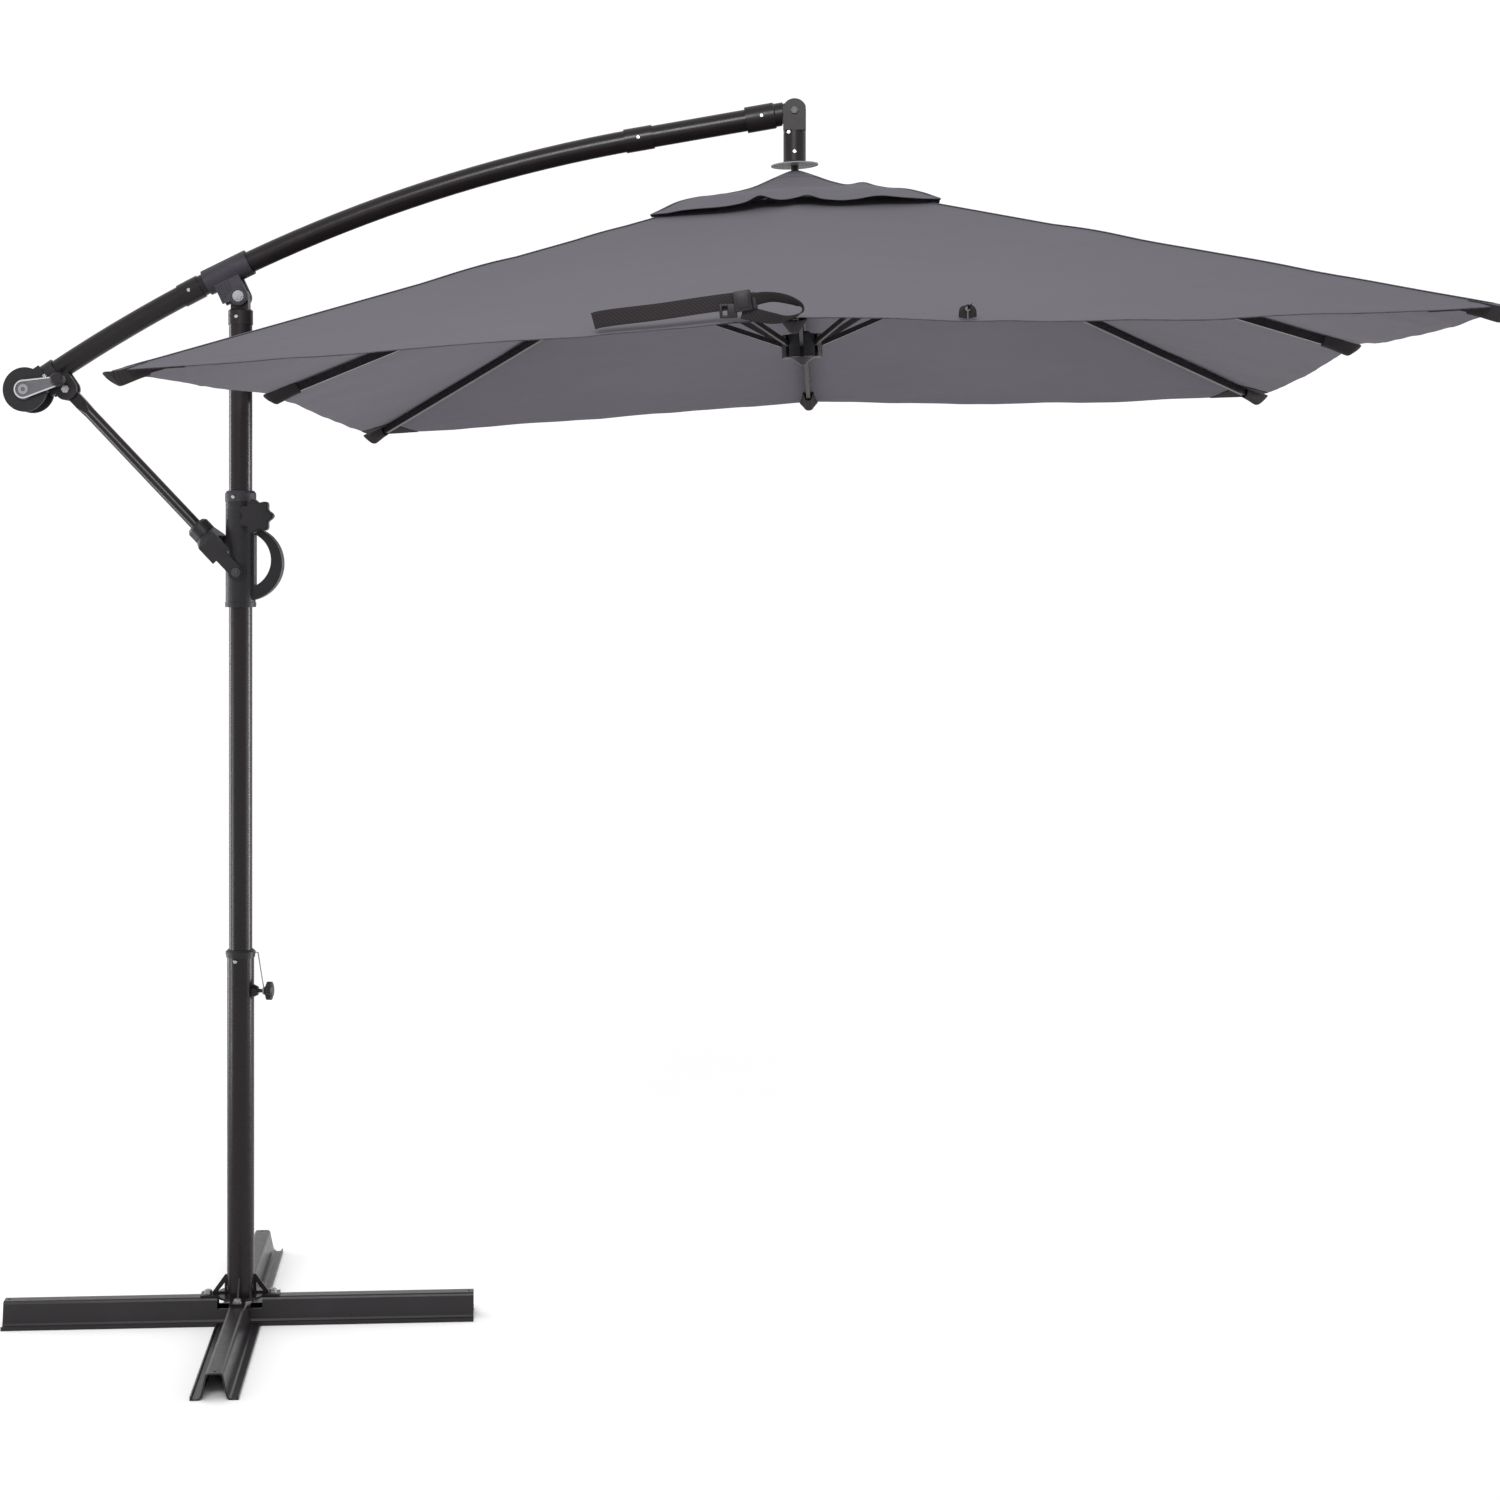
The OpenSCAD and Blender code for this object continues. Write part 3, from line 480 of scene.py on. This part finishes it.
def hem_place(i, w):
    """Plan place and height share of the hem in sector i, at w from -1 to 1 across it.
    Gives x, y (for a canopy of half side 1), the share of the way from side rib to corner rib, and
    the place along this side of the square."""
    across = np.abs(w)
    if i % 2 == 0:
        local = (np.ones_like(w), w * MID)
        gore = across * MID
        along = w * MID
    else:
        local = (math.sqrt(2) - (math.sqrt(2) - 1) * across, w * MID)
        gore = 1 - (1 - MID) * across
        along = -np.sign(w) * gore
    turn = math.radians(45 * i)
    x = local[0] * math.cos(turn) - local[1] * math.sin(turn)
    y = local[0] * math.sin(turn) + local[1] * math.cos(turn)
    return x, y, gore, along


def main_relief(u, x, y, gore):
    """How far the main cloth stands off the straight lines from its top to its hem."""
    between = 4 * gore * (1 - gore)
    inside = 0.0135 * np.sin(np.pi * np.clip(u, 0, 1) * 0.9) ** 2
    # the hem is pulled straight on the mast's side and hangs lower towards the far end
    slack = 0.0015 + 0.0095 * smoothstep(x, 0.0, 0.35)
    sag = -between * (inside + slack * np.clip(u, 0, 1) ** 3)
    off_rib = smoothstep(np.minimum(gore, 1 - gore) * u, 0.01, 0.16)
    soft = 0.0022 * noise_at(x, y, 5.0, 3.1) + 0.0011 * noise_at(x, y, 13.0, 8.7)
    pulled = 0.0006 * noise_at(x * 0.35, y, 60.0, 1.9) * smoothstep(u, 0.2, 0.5)
    hem = 0.0022 * noise_at(x, y, 9.0, 5.5) * smoothstep(u, 0.86, 1.0)
    to_corner = np.hypot(np.abs(x) - HALF, np.abs(y) - HALF)
    fan = np.arctan2(HALF - np.abs(y), HALF - np.abs(x) + 1e-9)
    tension = 0.0014 * np.sin(fan * 26) * np.exp(-to_corner / 0.17) * smoothstep(to_corner, 0.0, 0.05)
    corner = smoothstep(gore, 0.5, 0.9)
    ridge = 0.0042 * np.clip(noise_at(x, y, 6.5, 12.4), 0, 1) * (1 - off_rib)
    ridge = ridge * smoothstep(u, 0.2, 0.35) * corner
    return sag + (soft + pulled + hem + tension) * off_rib + ridge


def vent_relief(u, x, y, gore):
    """The vent cap hangs slack: hollow round its top, fuller further out, with a wavy hem."""
    hollow = -0.010 * np.sin(np.pi * np.clip(u / 0.66, 0, 1)) ** 2
    full = 0.0075 * np.sin(np.pi * np.clip((u - 0.55) / 0.5, 0, 1)) ** 2
    off_rib = smoothstep(np.minimum(gore, 1 - gore) * u, 0.02, 0.14)
    edge = smoothstep(u, 0.62, 1.0)
    around = np.arctan2(y, x)
    wave = 0.0017 * np.sin(around * 17 + 0.6) + 0.0021 * np.sin(around * 7 + 2.2)
    lifts = 0
    for at_x, high, wide in ((-0.070, 0.009, 0.020), (0.027, 0.008, 0.019), (0.17, 0.003, 0.03)):
        near = np.exp(-(((x - at_x) / wide) ** 2)) * smoothstep(-y, 0.1, 0.25)
        lifts = lifts + high * near
    ridge = 0.004 * np.clip(noise_at(x, y, 9.0, 4.2), -0.4, 1) * smoothstep(u, 0.3, 0.5)
    ridge = ridge + 0.006 * np.exp(-((x - 0.14) / 0.03) ** 2 - ((y + 0.14) / 0.03) ** 2)
    folds = 0.0017 * noise_at(x, y, 12.0, 9.1) + 0.0008 * noise_at(x, y, 30.0, 2.3)
    hem = edge * (wave * (0.35 + 0.65 * off_rib) + lifts)
    return hollow + full + hem + ridge + folds * smoothstep(u, 0.1, 0.4)


MAIN = dict(half=HALF, top=APEX_Z, side=SIDE_Z, corner=CORNER_Z, relief=main_relief)
VENT = dict(half=VENT_HALF, top=VENT_APEX_Z, side=VENT_SIDE_Z, corner=VENT_CORNER_Z, relief=vent_relief)


def surface(kind, u, i, w):
    """Points of the cloth at share u of the way to the hem and w across sector i, in the canopy's frame,
    and where they lie along and out from their side of the square."""
    hx, hy, gore, along = hem_place(i, w)
    x, y = hx * u * kind["half"], hy * u * kind["half"]
    low = kind["side"] + (kind["corner"] - kind["side"]) * gore
    z = kind["top"] + (low - kind["top"]) * u + kind["relief"](u, x, y, gore)
    return np.stack([x, y, z], -1), along * u * kind["half"], u * kind["half"]


def cloth_normals(points):
    """Normals of a grid that is closed round its second direction."""
    outward = np.empty_like(points)
    outward[1:-1] = points[2:] - points[:-2]
    outward[0] = points[1] - points[0]
    outward[-1] = points[-1] - points[-2]
    round_ = np.roll(points, -1, 1) - np.roll(points, 1, 1)
    normal = np.cross(outward, round_)
    return normal / np.linalg.norm(normal, axis=-1, keepdims=True)


def columns(half_count):
    """Places across a sector, close together next to the rib."""
    t = np.linspace(0, 1, half_count + 1)
    side = 0.35 * t + 0.65 * t**1.8
    return np.concatenate([-side[:0:-1], side])


def cloth_sectors(name, kind, inner, rings, half_count, hem_w):
    """The cloth as 8 closed thin pieces with equal edges, and a folded hem."""
    across = columns(half_count)
    hem_u = hem_w / kind["half"]
    steps = 1 - (1 - np.linspace(0, 1, rings)) ** 1.15
    body = inner + (1 - hem_u * 1.15 - inner) * steps
    edge = [1 - hem_u * 1.05, 1 - hem_u * 0.9, 1 - hem_u * 0.5, 1 - hem_u * 0.12, 1.0]
    u = np.concatenate([body, edge])[:, None]
    count = len(across) - 1
    parts = [surface(kind, u, i, across[None, :]) for i in range(SECTORS)]
    whole = np.concatenate([p[0][:, :-1] for p in parts], 1)
    normals = cloth_normals(whole)
    folded = np.where(u > 1 - hem_u * 1.1, 1.0, 0.0)[..., None]
    half_t = (CLOTH_T / 2) * (1 + 1.3 * folded)
    tops, lows = whole + normals * half_t, whole - normals * half_t
    made = []
    for i in range(SECTORS):
        pick = (np.arange(count + 1) + i * count) % (SECTORS * count)
        made.append(sector_piece(
            f"{name}_{i}", tops[:, pick], lows[:, pick], normals[:, pick], parts[i], i % 2 == 1
        ))
    return made


def sector_piece(name, top, low, normal, part, corner):
    """One sector as a closed mesh; part is what surface gave for it, corner is true over a corner rib."""
    rows, count = top.shape[:2]
    points = np.concatenate([top.reshape(-1, 3), low.reshape(-1, 3)])
    size = rows * count
    radial = np.broadcast_to(part[2], part[1].shape)
    # the corner rib's column belongs to two sides of the square, so each half has its own UVs
    middle = count // 2
    along = {-1: part[1].copy(), 1: part[1].copy()}
    if corner:
        at_rib = np.sign(part[1][:, middle - 1]) * radial[:, middle]
        along[-1][:, middle] = at_rib
        along[1][:, middle] = -at_rib
    faces, uvs = [], []

    def uv(r, c, side):
        return (along[side][r, c], radial[r, c])

    for r in range(rows - 1):
        for c in range(count - 1):
            side = -1 if c < middle else 1
            a, e = r * count + c, (r + 1) * count + c
            b, d = a + 1, e + 1
            corners = [uv(r, c, side), uv(r, c + 1, side), uv(r + 1, c + 1, side), uv(r + 1, c, side)]
            faces.append((e, d, b, a))
            uvs += corners[::-1]
            faces.append((a + size, b + size, d + size, e + size))
            uvs += corners
    rim = [(r, 0) for r in range(rows)] + [(rows - 1, c) for c in range(1, count)]
    rim += [(r, count - 1) for r in range(rows - 2, -1, -1)] + [(0, c) for c in range(count - 2, 0, -1)]
    for (r0, c0), (r1, c1) in zip(rim, rim[1:] + rim[:1]):
        p, q = r0 * count + c0, r1 * count + c1
        faces.append((p, p + size, q + size, q))
        side = -1 if (c0 + c1) / 2 < middle else 1
        uvs += [uv(r0, c0, side), uv(r0, c0, side), uv(r1, c1, side), uv(r1, c1, side)]
    piece = new_piece(name, points, faces, cloth, uvs)
    flat_normals = normal.reshape(-1, 3)
    piece.data.normals_split_custom_set_from_vertices(np.concatenate([flat_normals, -flat_normals]))
    piece.data.transform(canopy_frame)
    return piece


def folds_with(piece, i):
    """The piece goes with rib i and gets a mesh of its own."""
    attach(piece, f"rib_{i}")
    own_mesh(piece)


# share of the way to the hem at which each cloth starts
MAIN_INNER, VENT_INNER = 0.16, 0.145
# rows from the top to the hem, and columns across half a sector
MAIN_ROWS, MAIN_COLUMNS = ((68, 30))
VENT_ROWS, VENT_COLUMNS = ((36, 22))
main_cloth = cloth_sectors("cloth_main", MAIN, MAIN_INNER, MAIN_ROWS, MAIN_COLUMNS, HEM_W)
vent_cloth = cloth_sectors("cloth_vent", VENT, VENT_INNER, VENT_ROWS, VENT_COLUMNS, VENT_HEM_W)


def rib_line(kind, i, u0, u1, count, lift):
    """Centre, across and up along rib i on the cloth's outer face."""
    u = np.linspace(u0, u1, count)[:, None]
    middle = surface(kind, u, i, np.zeros((1, 1)))[0][:, 0]
    turn = math.radians(45 * i)
    across = Vector((-math.sin(turn), math.cos(turn), 0))
    path = []
    for k in range(count):
        before, after = middle[max(k - 1, 0)], middle[min(k + 1, count - 1)]
        way = Vector(after - before).normalized()
        up = way.cross(across).normalized()
        path.append((Vector(middle[k]) + up * lift, across, up))
    return path


def seam_tape(name, kind, i, u0, u1, count, width):
    """A felled seam: a low crowned tape over the joint of two panels."""
    path = rib_line(kind, i, u0, u1, count, CLOTH_T / 2 - 0.0002)
    edge = width / 2
    section = [(edge, 0), (edge, 0.0006), (edge * 0.62, 0.001), (edge * 0.25, 0.0008), (0, 0.0012),
               (-edge * 0.25, 0.0008), (-edge * 0.62, 0.001), (-edge, 0.0006), (-edge, 0)]
    points, faces, uvs = sweep(path, section)
    measure = sum(math.dist(a, b) for a, b in zip(section[1:4], section[2:5]))
    uvs = [(a, b - edge - measure * 0.02) for a, b in uvs]
    return new_piece(name, points, faces, seam_cloth, uvs, canopy_frame)


for i in range(SECTORS):
    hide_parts(f"canopy_{i}")
    sewn = [main_cloth[i], vent_cloth[i]]
    if i % 2:
        sewn.append(seam_tape(f"seam_main_{i}", MAIN, i, MAIN_INNER, 0.985, 160, SEAM_W))
        sewn.append(seam_tape(f"seam_vent_{i}", VENT, i, VENT_INNER, 0.99, 60, VENT_SEAM_W))
    for piece in sewn:
        folds_with(piece, i)


def crown():
    """The top of the vent cap, sewn round the hub's neck: it stays with the hub."""
    across = columns(22)
    u = np.linspace(0.034, VENT_INNER + 0.006, 14)[:, None]
    parts = [surface(VENT, u, i, across[None, :])[0][:, :-1] for i in range(SECTORS)]
    grid = np.concatenate(parts, 1)
    rows, count = grid.shape[:2]
    faces, uvs = [], []
    for r in range(rows - 1):
        for c in range(count):
            n = (c + 1) % count
            corner = (r * count + c, r * count + n, (r + 1) * count + n, (r + 1) * count + c)
            faces.append(corner[::-1])
            uvs += [tuple(grid[k // count, k % count, :2]) for k in corner[::-1]]
    points = grid.reshape(-1, 3) + np.array([0, 0, 0.0006])
    piece = new_piece("vent_crown", points, faces, cloth, uvs, canopy_frame)
    return thickened(piece, CLOTH_T, offset=1.0)


vent_crown = crown()
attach(vent_crown, "hanger")


# ---- pockets at the tips of the ribs ----

POCKET_L = 0.074
# how far a corner patch reaches along each side of the hem
PATCH_LEG = 0.125


def pocket(i):
    """A dark pouch under the hem that the rib's end sits in: wide at the hem, snug at its inner end."""
    place, length = rib_frame(i)
    corner = i % 2 == 1
    rows = []
    for t in np.linspace(0, 1, 11):
        x = length - 0.0025 - t * POCKET_L
        eased = t * t * (3 - 2 * t)
        half = (0.0205 if corner else 0.0225) - 0.0100 * eased + 0.0008 * math.sin(6 * t + i)
        deep = 0.0185 * (1 - eased) + 0.0142 * eased
        shoulder = 0.0125 - 0.0040 * eased
        foot = 0.0066 - 0.0004 * eased
        left = [(-half, 0.0088), (-0.88 * half, 0.0050), (-shoulder, -0.3 * deep),
                (-(shoulder + foot) / 2, -0.66 * deep), (-foot, -0.93 * deep)]
        ring = left + [(0, -deep)] + [(-a, z) for a, z in left[::-1]]
        # the mouth slants back under the hem
        rows.append([(x - 0.8 * max(0.0, -z) * (1 - t) ** 2, a, z) for a, z in ring])
    count = len(rows[0])
    points = [p for row in rows for p in row]
    faces, uvs = [], []
    step = POCKET_L / (len(rows) - 1)
    for r in range(len(rows) - 1):
        for c in range(count - 1):
            faces.append((r * count + c, r * count + c + 1, (r + 1) * count + c + 1, (r + 1) * count + c))
            uvs += [(c * 0.007, r * step), ((c + 1) * 0.007, r * step),
                    ((c + 1) * 0.007, (r + 1) * step), (c * 0.007, (r + 1) * step)]
    # the front is closed; at a corner it ends in a small upturned beak
    tip = len(points)
    points.append((length + (0.004 if corner else 0.0), 0, 0.0135 if corner else 0.0055))
    for c in range(count - 1):
        faces.append((tip, c + 1, c))
        uvs += [(0, 0)] * 3
    piece = new_piece(f"tip_pocket_{i}", points, faces, pocket_cloth, uvs, place)
    smooth = piece.modifiers.new("smooth", "SUBSURF")
    smooth.levels = smooth.render_levels = 1
    piece = thickened(piece, 0.0012, offset=-1.0)
    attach(piece, f"rib_{i}")
    return piece


def corner_patch(i):
    """A dark patch inside a corner of the hem."""
    leg = PATCH_LEG
    edge_w = leg / ((1 - MID) * HALF)
    across = np.linspace(-edge_w, edge_w, 33)[None, :]
    root2 = math.sqrt(2)
    inner = (root2 - leg / (root2 * HALF)) / (root2 - (root2 - 1) * np.abs(across))
    inner = np.minimum(inner, 1.0)
    t = np.linspace(0, 1, 9)[:, None]
    u = inner + (0.9995 - inner) * t
    grid = surface(MAIN, u, i, np.broadcast_to(across, u.shape))[0]
    grid[..., 2] -= CLOTH_T * 1.15 + 0.0012
    rows, count = grid.shape[:2]
    faces, uvs = [], []
    for r in range(rows - 1):
        for c in range(count - 1):
            corner = (r * count + c, r * count + c + 1, (r + 1) * count + c + 1, (r + 1) * count + c)
            faces.append(corner)
            uvs += [tuple(grid[k // count, k % count, :2]) for k in corner]
    piece = new_piece(f"corner_patch_{i}", grid.reshape(-1, 3), faces, pocket_cloth, uvs, canopy_frame)
    piece = thickened(piece, 0.0008)
    folds_with(piece, i)
    return piece


pockets = [pocket(i) for i in range(SECTORS)]
patches = {i: corner_patch(i) for i in range(1, SECTORS, 2)}


# ---- the tie strap on the near side of the hem ----
# places are (along the hem, out from the canopy's middle, height) in the frame of the near side

near_side = canopy_frame @ Matrix.Rotation(math.radians(270), 4, "Z")
HEM_Z = SIDE_Z


def curve_points(stops, count):
    """A smooth curve through stops, by Catmull-Rom."""
    stops = [Vector(s) for s in stops]
    ends = [2 * stops[0] - stops[1], *stops, 2 * stops[-1] - stops[-2]]
    out = []
    for k in range(1, len(ends) - 2):
        a, b, c, d = ends[k - 1:k + 3]
        for step in range(count):
            t = step / count
            out.append(0.5 * (2 * b + (c - a) * t + (2 * a - 5 * b + 4 * c - d) * t**2
                              + (3 * b - a - 3 * c + d) * t**3))
    return out + [stops[-1]]


def web_tape(name, stops, ups, width, thickness, count):
    """Webbing along stops, count steps from one to the next; ups are the directions of its width."""
    line = curve_points(stops, count)
    turns = curve_points(ups, count)
    path = []
    for k, point in enumerate(line):
        way = (line[min(k + 1, len(line) - 1)] - line[max(k - 1, 0)]).normalized()
        up = turns[k] - way * turns[k].dot(way)
        up.normalize()
        path.append((point, up, way.cross(up)))
    half, t = width / 2, thickness / 2
    section = [(half, -t * 0.5), (half, t * 0.5), (half * 0.94, t), (half * 0.5, t), (0, t), (-half * 0.5, t),
               (-half * 0.94, t), (-half, t * 0.5), (-half, -t * 0.5), (-half * 0.94, -t), (-half * 0.5, -t),
               (0, -t), (half * 0.5, -t), (half * 0.94, -t)]
    points, faces, uvs = sweep(path, section)
    # the side's own axes are X out and Y along the hem, so the faces turn over
    placed = [(p[1], p[0], p[2]) for p in points]
    turned_uvs = [uv for start, size in face_runs(faces) for uv in uvs[start:start + size][::-1]]
    return new_piece(name, placed, [f[::-1] for f in faces], web, turned_uvs, near_side)


def face_runs(faces):
    """Start and length of each face's run of corners."""
    start = 0
    for face in faces:
        yield start, len(face)
        start += len(face)


STRAP_W, TAIL_W, STRAP_T = 0.028, 0.022, 0.0016
OUT = HALF + 0.006
strap_stops = [
    (-0.331, OUT - 0.002, HEM_Z + 0.010), (-0.318, OUT, HEM_Z + 0.0125),
    (-0.285, OUT + 0.002, HEM_Z + 0.0155), (-0.220, OUT + 0.004, HEM_Z + 0.020),
    (-0.160, OUT + 0.005, HEM_Z + 0.026), (-0.120, OUT + 0.007, HEM_Z + 0.0295),
    (-0.096, OUT + 0.009, HEM_Z + 0.031),
]
strap_ups = [
    (0, 0.1, 1), (0, 0.06, 1), (0, 0.02, 1), (0, -0.08, 1), (0, -0.08, 1), (0, -0.06, 1), (0, 0, 1),
]
strap = web_tape("tie_strap_web", strap_stops, strap_ups, STRAP_W, STRAP_T, 8)

loop_stops = [
    (-0.088, OUT + 0.012, HEM_Z + 0.024), (-0.066, OUT + 0.015, HEM_Z + 0.031),
    (-0.036, OUT + 0.019, HEM_Z + 0.034), (-0.008, OUT + 0.023, HEM_Z + 0.028),
    (0.012, OUT + 0.021, HEM_Z + 0.018), (0.013, OUT + 0.015, HEM_Z + 0.007),
    (-0.010, OUT + 0.011, HEM_Z - 0.002), (-0.036, OUT + 0.010, HEM_Z + 0.000),
    (-0.060, OUT + 0.009, HEM_Z + 0.006), (-0.084, OUT + 0.009, HEM_Z + 0.012),
]
loop_ups = [(0, 0.1, 1), (0, 0.4, 0.9), (0.1, 0.7, 0.6), (0.3, 0.8, 0.45), (0.2, 1, 0.2), (0, 1, -0.1),
            (-0.1, 0.9, 0.3), (0, 0.6, 0.8), (0, 0.3, 1), (0, 0.1, 1)]
loop = web_tape("tie_strap_tail", loop_stops, loop_ups, TAIL_W, STRAP_T, 8)


def box_part(name, centre, size, turn):
    """A block of the buckle in the near side's frame: size is along, out, up."""
    shape = bmesh.new()
    bmesh.ops.create_cube(shape, size=1.0)
    bmesh.ops.scale(shape, vec=(size[1], size[0], size[2]), verts=shape.verts)
    mesh = bpy.data.meshes.new(name)
    shape.to_mesh(mesh)
    shape.free()
    mesh.transform(Matrix.Rotation(turn, 4, "X"))
    mesh.transform(Matrix.Translation((centre[1], centre[0], centre[2])))
    mesh.materials.append(black)
    piece = bpy.data.objects.new(name, mesh)
    bpy.context.scene.collection.objects.link(piece)
    return piece


def buckle():
    """A side-release buckle: a frame with a slot for the tape, and the prongs' housing with ribs."""
    low, high = HEM_Z + 0.015, HEM_Z + 0.030
    parts = [
        ((-0.106, OUT + 0.011, low - 0.0095), (0.029, 0.0065, 0.005), 0.0),
        ((-0.106, OUT + 0.011, low + 0.0095), (0.029, 0.0065, 0.005), 0.0),
        ((-0.1185, OUT + 0.011, low), (0.005, 0.007, 0.024), 0.0),
        ((-0.100, OUT + 0.011, low), (0.016, 0.007, 0.024), 0.0),
        ((-0.082, OUT + 0.014, high), (0.030, 0.009, 0.034), 0.12),
        ((-0.082, OUT + 0.0188, high), (0.020, 0.0025, 0.024), 0.12),
        ((-0.070, OUT + 0.0190, high), (0.0025, 0.003, 0.029), 0.12),
        ((-0.063, OUT + 0.014, high), (0.008, 0.007, 0.028), 0.12),
    ]
    made = []
    for k, (centre, size, turn) in enumerate(parts):
        part = box_part(f"buckle_{k}", centre, size, turn)
        edge = part.modifiers.new("edge", "BEVEL")
        edge.width = min(size) * 0.3
        edge.segments = 3
        made.append(applied(part))
    whole = join("strap_buckle_body", made)
    whole.data.transform(near_side)
    return whole


def join(name, parts):
    """One object from several that sit at the origin."""
    shape = bmesh.new()
    for part in parts:
        shape.from_mesh(part.data)
    mesh = bpy.data.meshes.new(name)
    shape.to_mesh(mesh)
    shape.free()
    mesh.materials.append(parts[0].data.materials[0])
    for part in parts:
        bpy.data.objects.remove(part)
    piece = bpy.data.objects.new(name, mesh)
    bpy.context.scene.collection.objects.link(piece)
    mesh.polygons.foreach_set("use_smooth", [True] * len(mesh.polygons))
    return piece


buckle_body = buckle()
tag_stops = [
    (0.276, OUT - 0.004, HEM_Z - 0.013), (0.2765, OUT + 0.002, HEM_Z - 0.004),
    (0.2775, OUT + 0.005, HEM_Z + 0.002), (0.284, OUT + 0.007, HEM_Z + 0.006),
    (0.2905, OUT + 0.005, HEM_Z + 0.002), (0.2915, OUT + 0.002, HEM_Z - 0.004),
    (0.292, OUT - 0.004, HEM_Z - 0.013),
]
tag_ups = [(1, 0.4, 0), (1, 0.4, 0), (0.6, 1, 0), (0, 1, 0), (0.6, -1, 0), (1, -0.4, 0), (1, -0.4, 0)]
TAG_W, TAG_T = 0.014, 0.0022
hem_tag = web_tape("hem_tag", tag_stops, tag_ups, TAG_W, TAG_T, 6)
for piece, node in ((strap, "tie_strap"), (buckle_body, "strap_buckle"), (hem_tag, "hem_loop"), (loop, None)):
    folds_with(piece, 6)
    if node:
        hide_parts(node)


# ---- the lift rope: three twisted strands between the hub and the runner ----

def lift_rope():
    strand_r, turn_r, lay = 0.00105, 0.00118, 0.013
    rings = 240
    points, faces, uvs = [], [], []
    for s in range(3):
        path = []
        for k in range(rings + 1):
            z = ROPE_HIGH_Z + (ROPE_LOW_Z - ROPE_HIGH_Z) * k / rings
            angle = 2 * math.pi * ((ROPE_HIGH_Z - z) / lay + s / 3)
            out = Vector((math.cos(angle), math.sin(angle), 0))
            path.append((Vector((0, 0, z)) + out * turn_r, out, Vector((-out.y, out.x, 0))))
        ring = [(strand_r * math.cos(a), strand_r * math.sin(a)) for a in np.arange(8) * math.pi / 4]
        p, f, t = sweep(path, ring)
        faces += [tuple(v + len(points) for v in face) for face in f]
        points += p
        uvs += t
    return new_piece("lift_rope_yarn", points, faces, rope_yarn, uvs, canopy_frame)


rope = lift_rope()
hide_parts("lift_rope")
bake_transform(rope)


# ---- floor, light and camera ----

def soft_light(name, place, target, size, power, spread):
    data = bpy.data.lights.new(name, "AREA")
    data.spread = math.radians(spread)
    data.shape = "RECTANGLE"
    data.size, data.size_y = size
    data.energy = power
    lamp = bpy.data.objects.new(name, data)
    lamp.location = place
    lamp.rotation_euler = (Vector(target) - Vector(place)).to_track_quat("-Z", "Y").to_euler()
    bpy.context.scene.collection.objects.link(lamp)


def stage_floor():
    side = 60.0
    mat, tree, shader = new_material("floor_pale", (0.985, 0.985, 0.985), 0.9)
    shader.inputs["Specular IOR Level"].default_value = 0.0
    floor = new_piece("floor", [(-side, -side, 0), (side, -side, 0), (side, side, 0), (-side, side, 0)],
                      [(0, 1, 2, 3)], mat, smooth=False)


def studio():
    world = bpy.data.worlds.new("studio")
    world.use_nodes = True
    world.node_tree.nodes["Background"].inputs["Color"].default_value = (1.0, 1.0, 1.0, 1)
    world.node_tree.nodes["Background"].inputs["Strength"].default_value = 1.05
    bpy.context.scene.world = world
    soft_light("key", (0.6, -4.6, 4.4), (1.1, -0.4, 2.2), (2.4, 1.4), 34, 70)
    soft_light("strip_left", (-2.6, 0.9, 1.3), (0, 0, 1.2), (0.9, 2.6), 8, 70)
    soft_light("strip_right", (3.4, 1.1, 1.2), (0, 0, 1.2), (0.9, 2.4), 11, 50)
    soft_light("right", (4.6, -0.8, 0.5), (1.4, 0, 2.1), (0.8, 1.6), 7, 60)
    soft_light("left", (-2.4, -0.8, 0.5), (0.9, 0, 2.1), (0.8, 1.6), 7, 60)


def photo_camera():
    data = bpy.data.cameras.new("camera")
    data.sensor_width = 36.0
    data.lens = 58.5
    data.shift_x, data.shift_y = 0.0667, -0.1347
    data.clip_end = 200
    camera = bpy.data.objects.new("camera", data)
    camera.location = (1.275, -5.163, 1.66)
    camera.rotation_euler = (math.radians(90), 0, math.radians(4.34))
    bpy.context.scene.collection.objects.link(camera)
    bpy.context.scene.camera = camera


bpy.context.scene.view_settings.view_transform = "Standard"
stage_floor()
studio()
photo_camera()
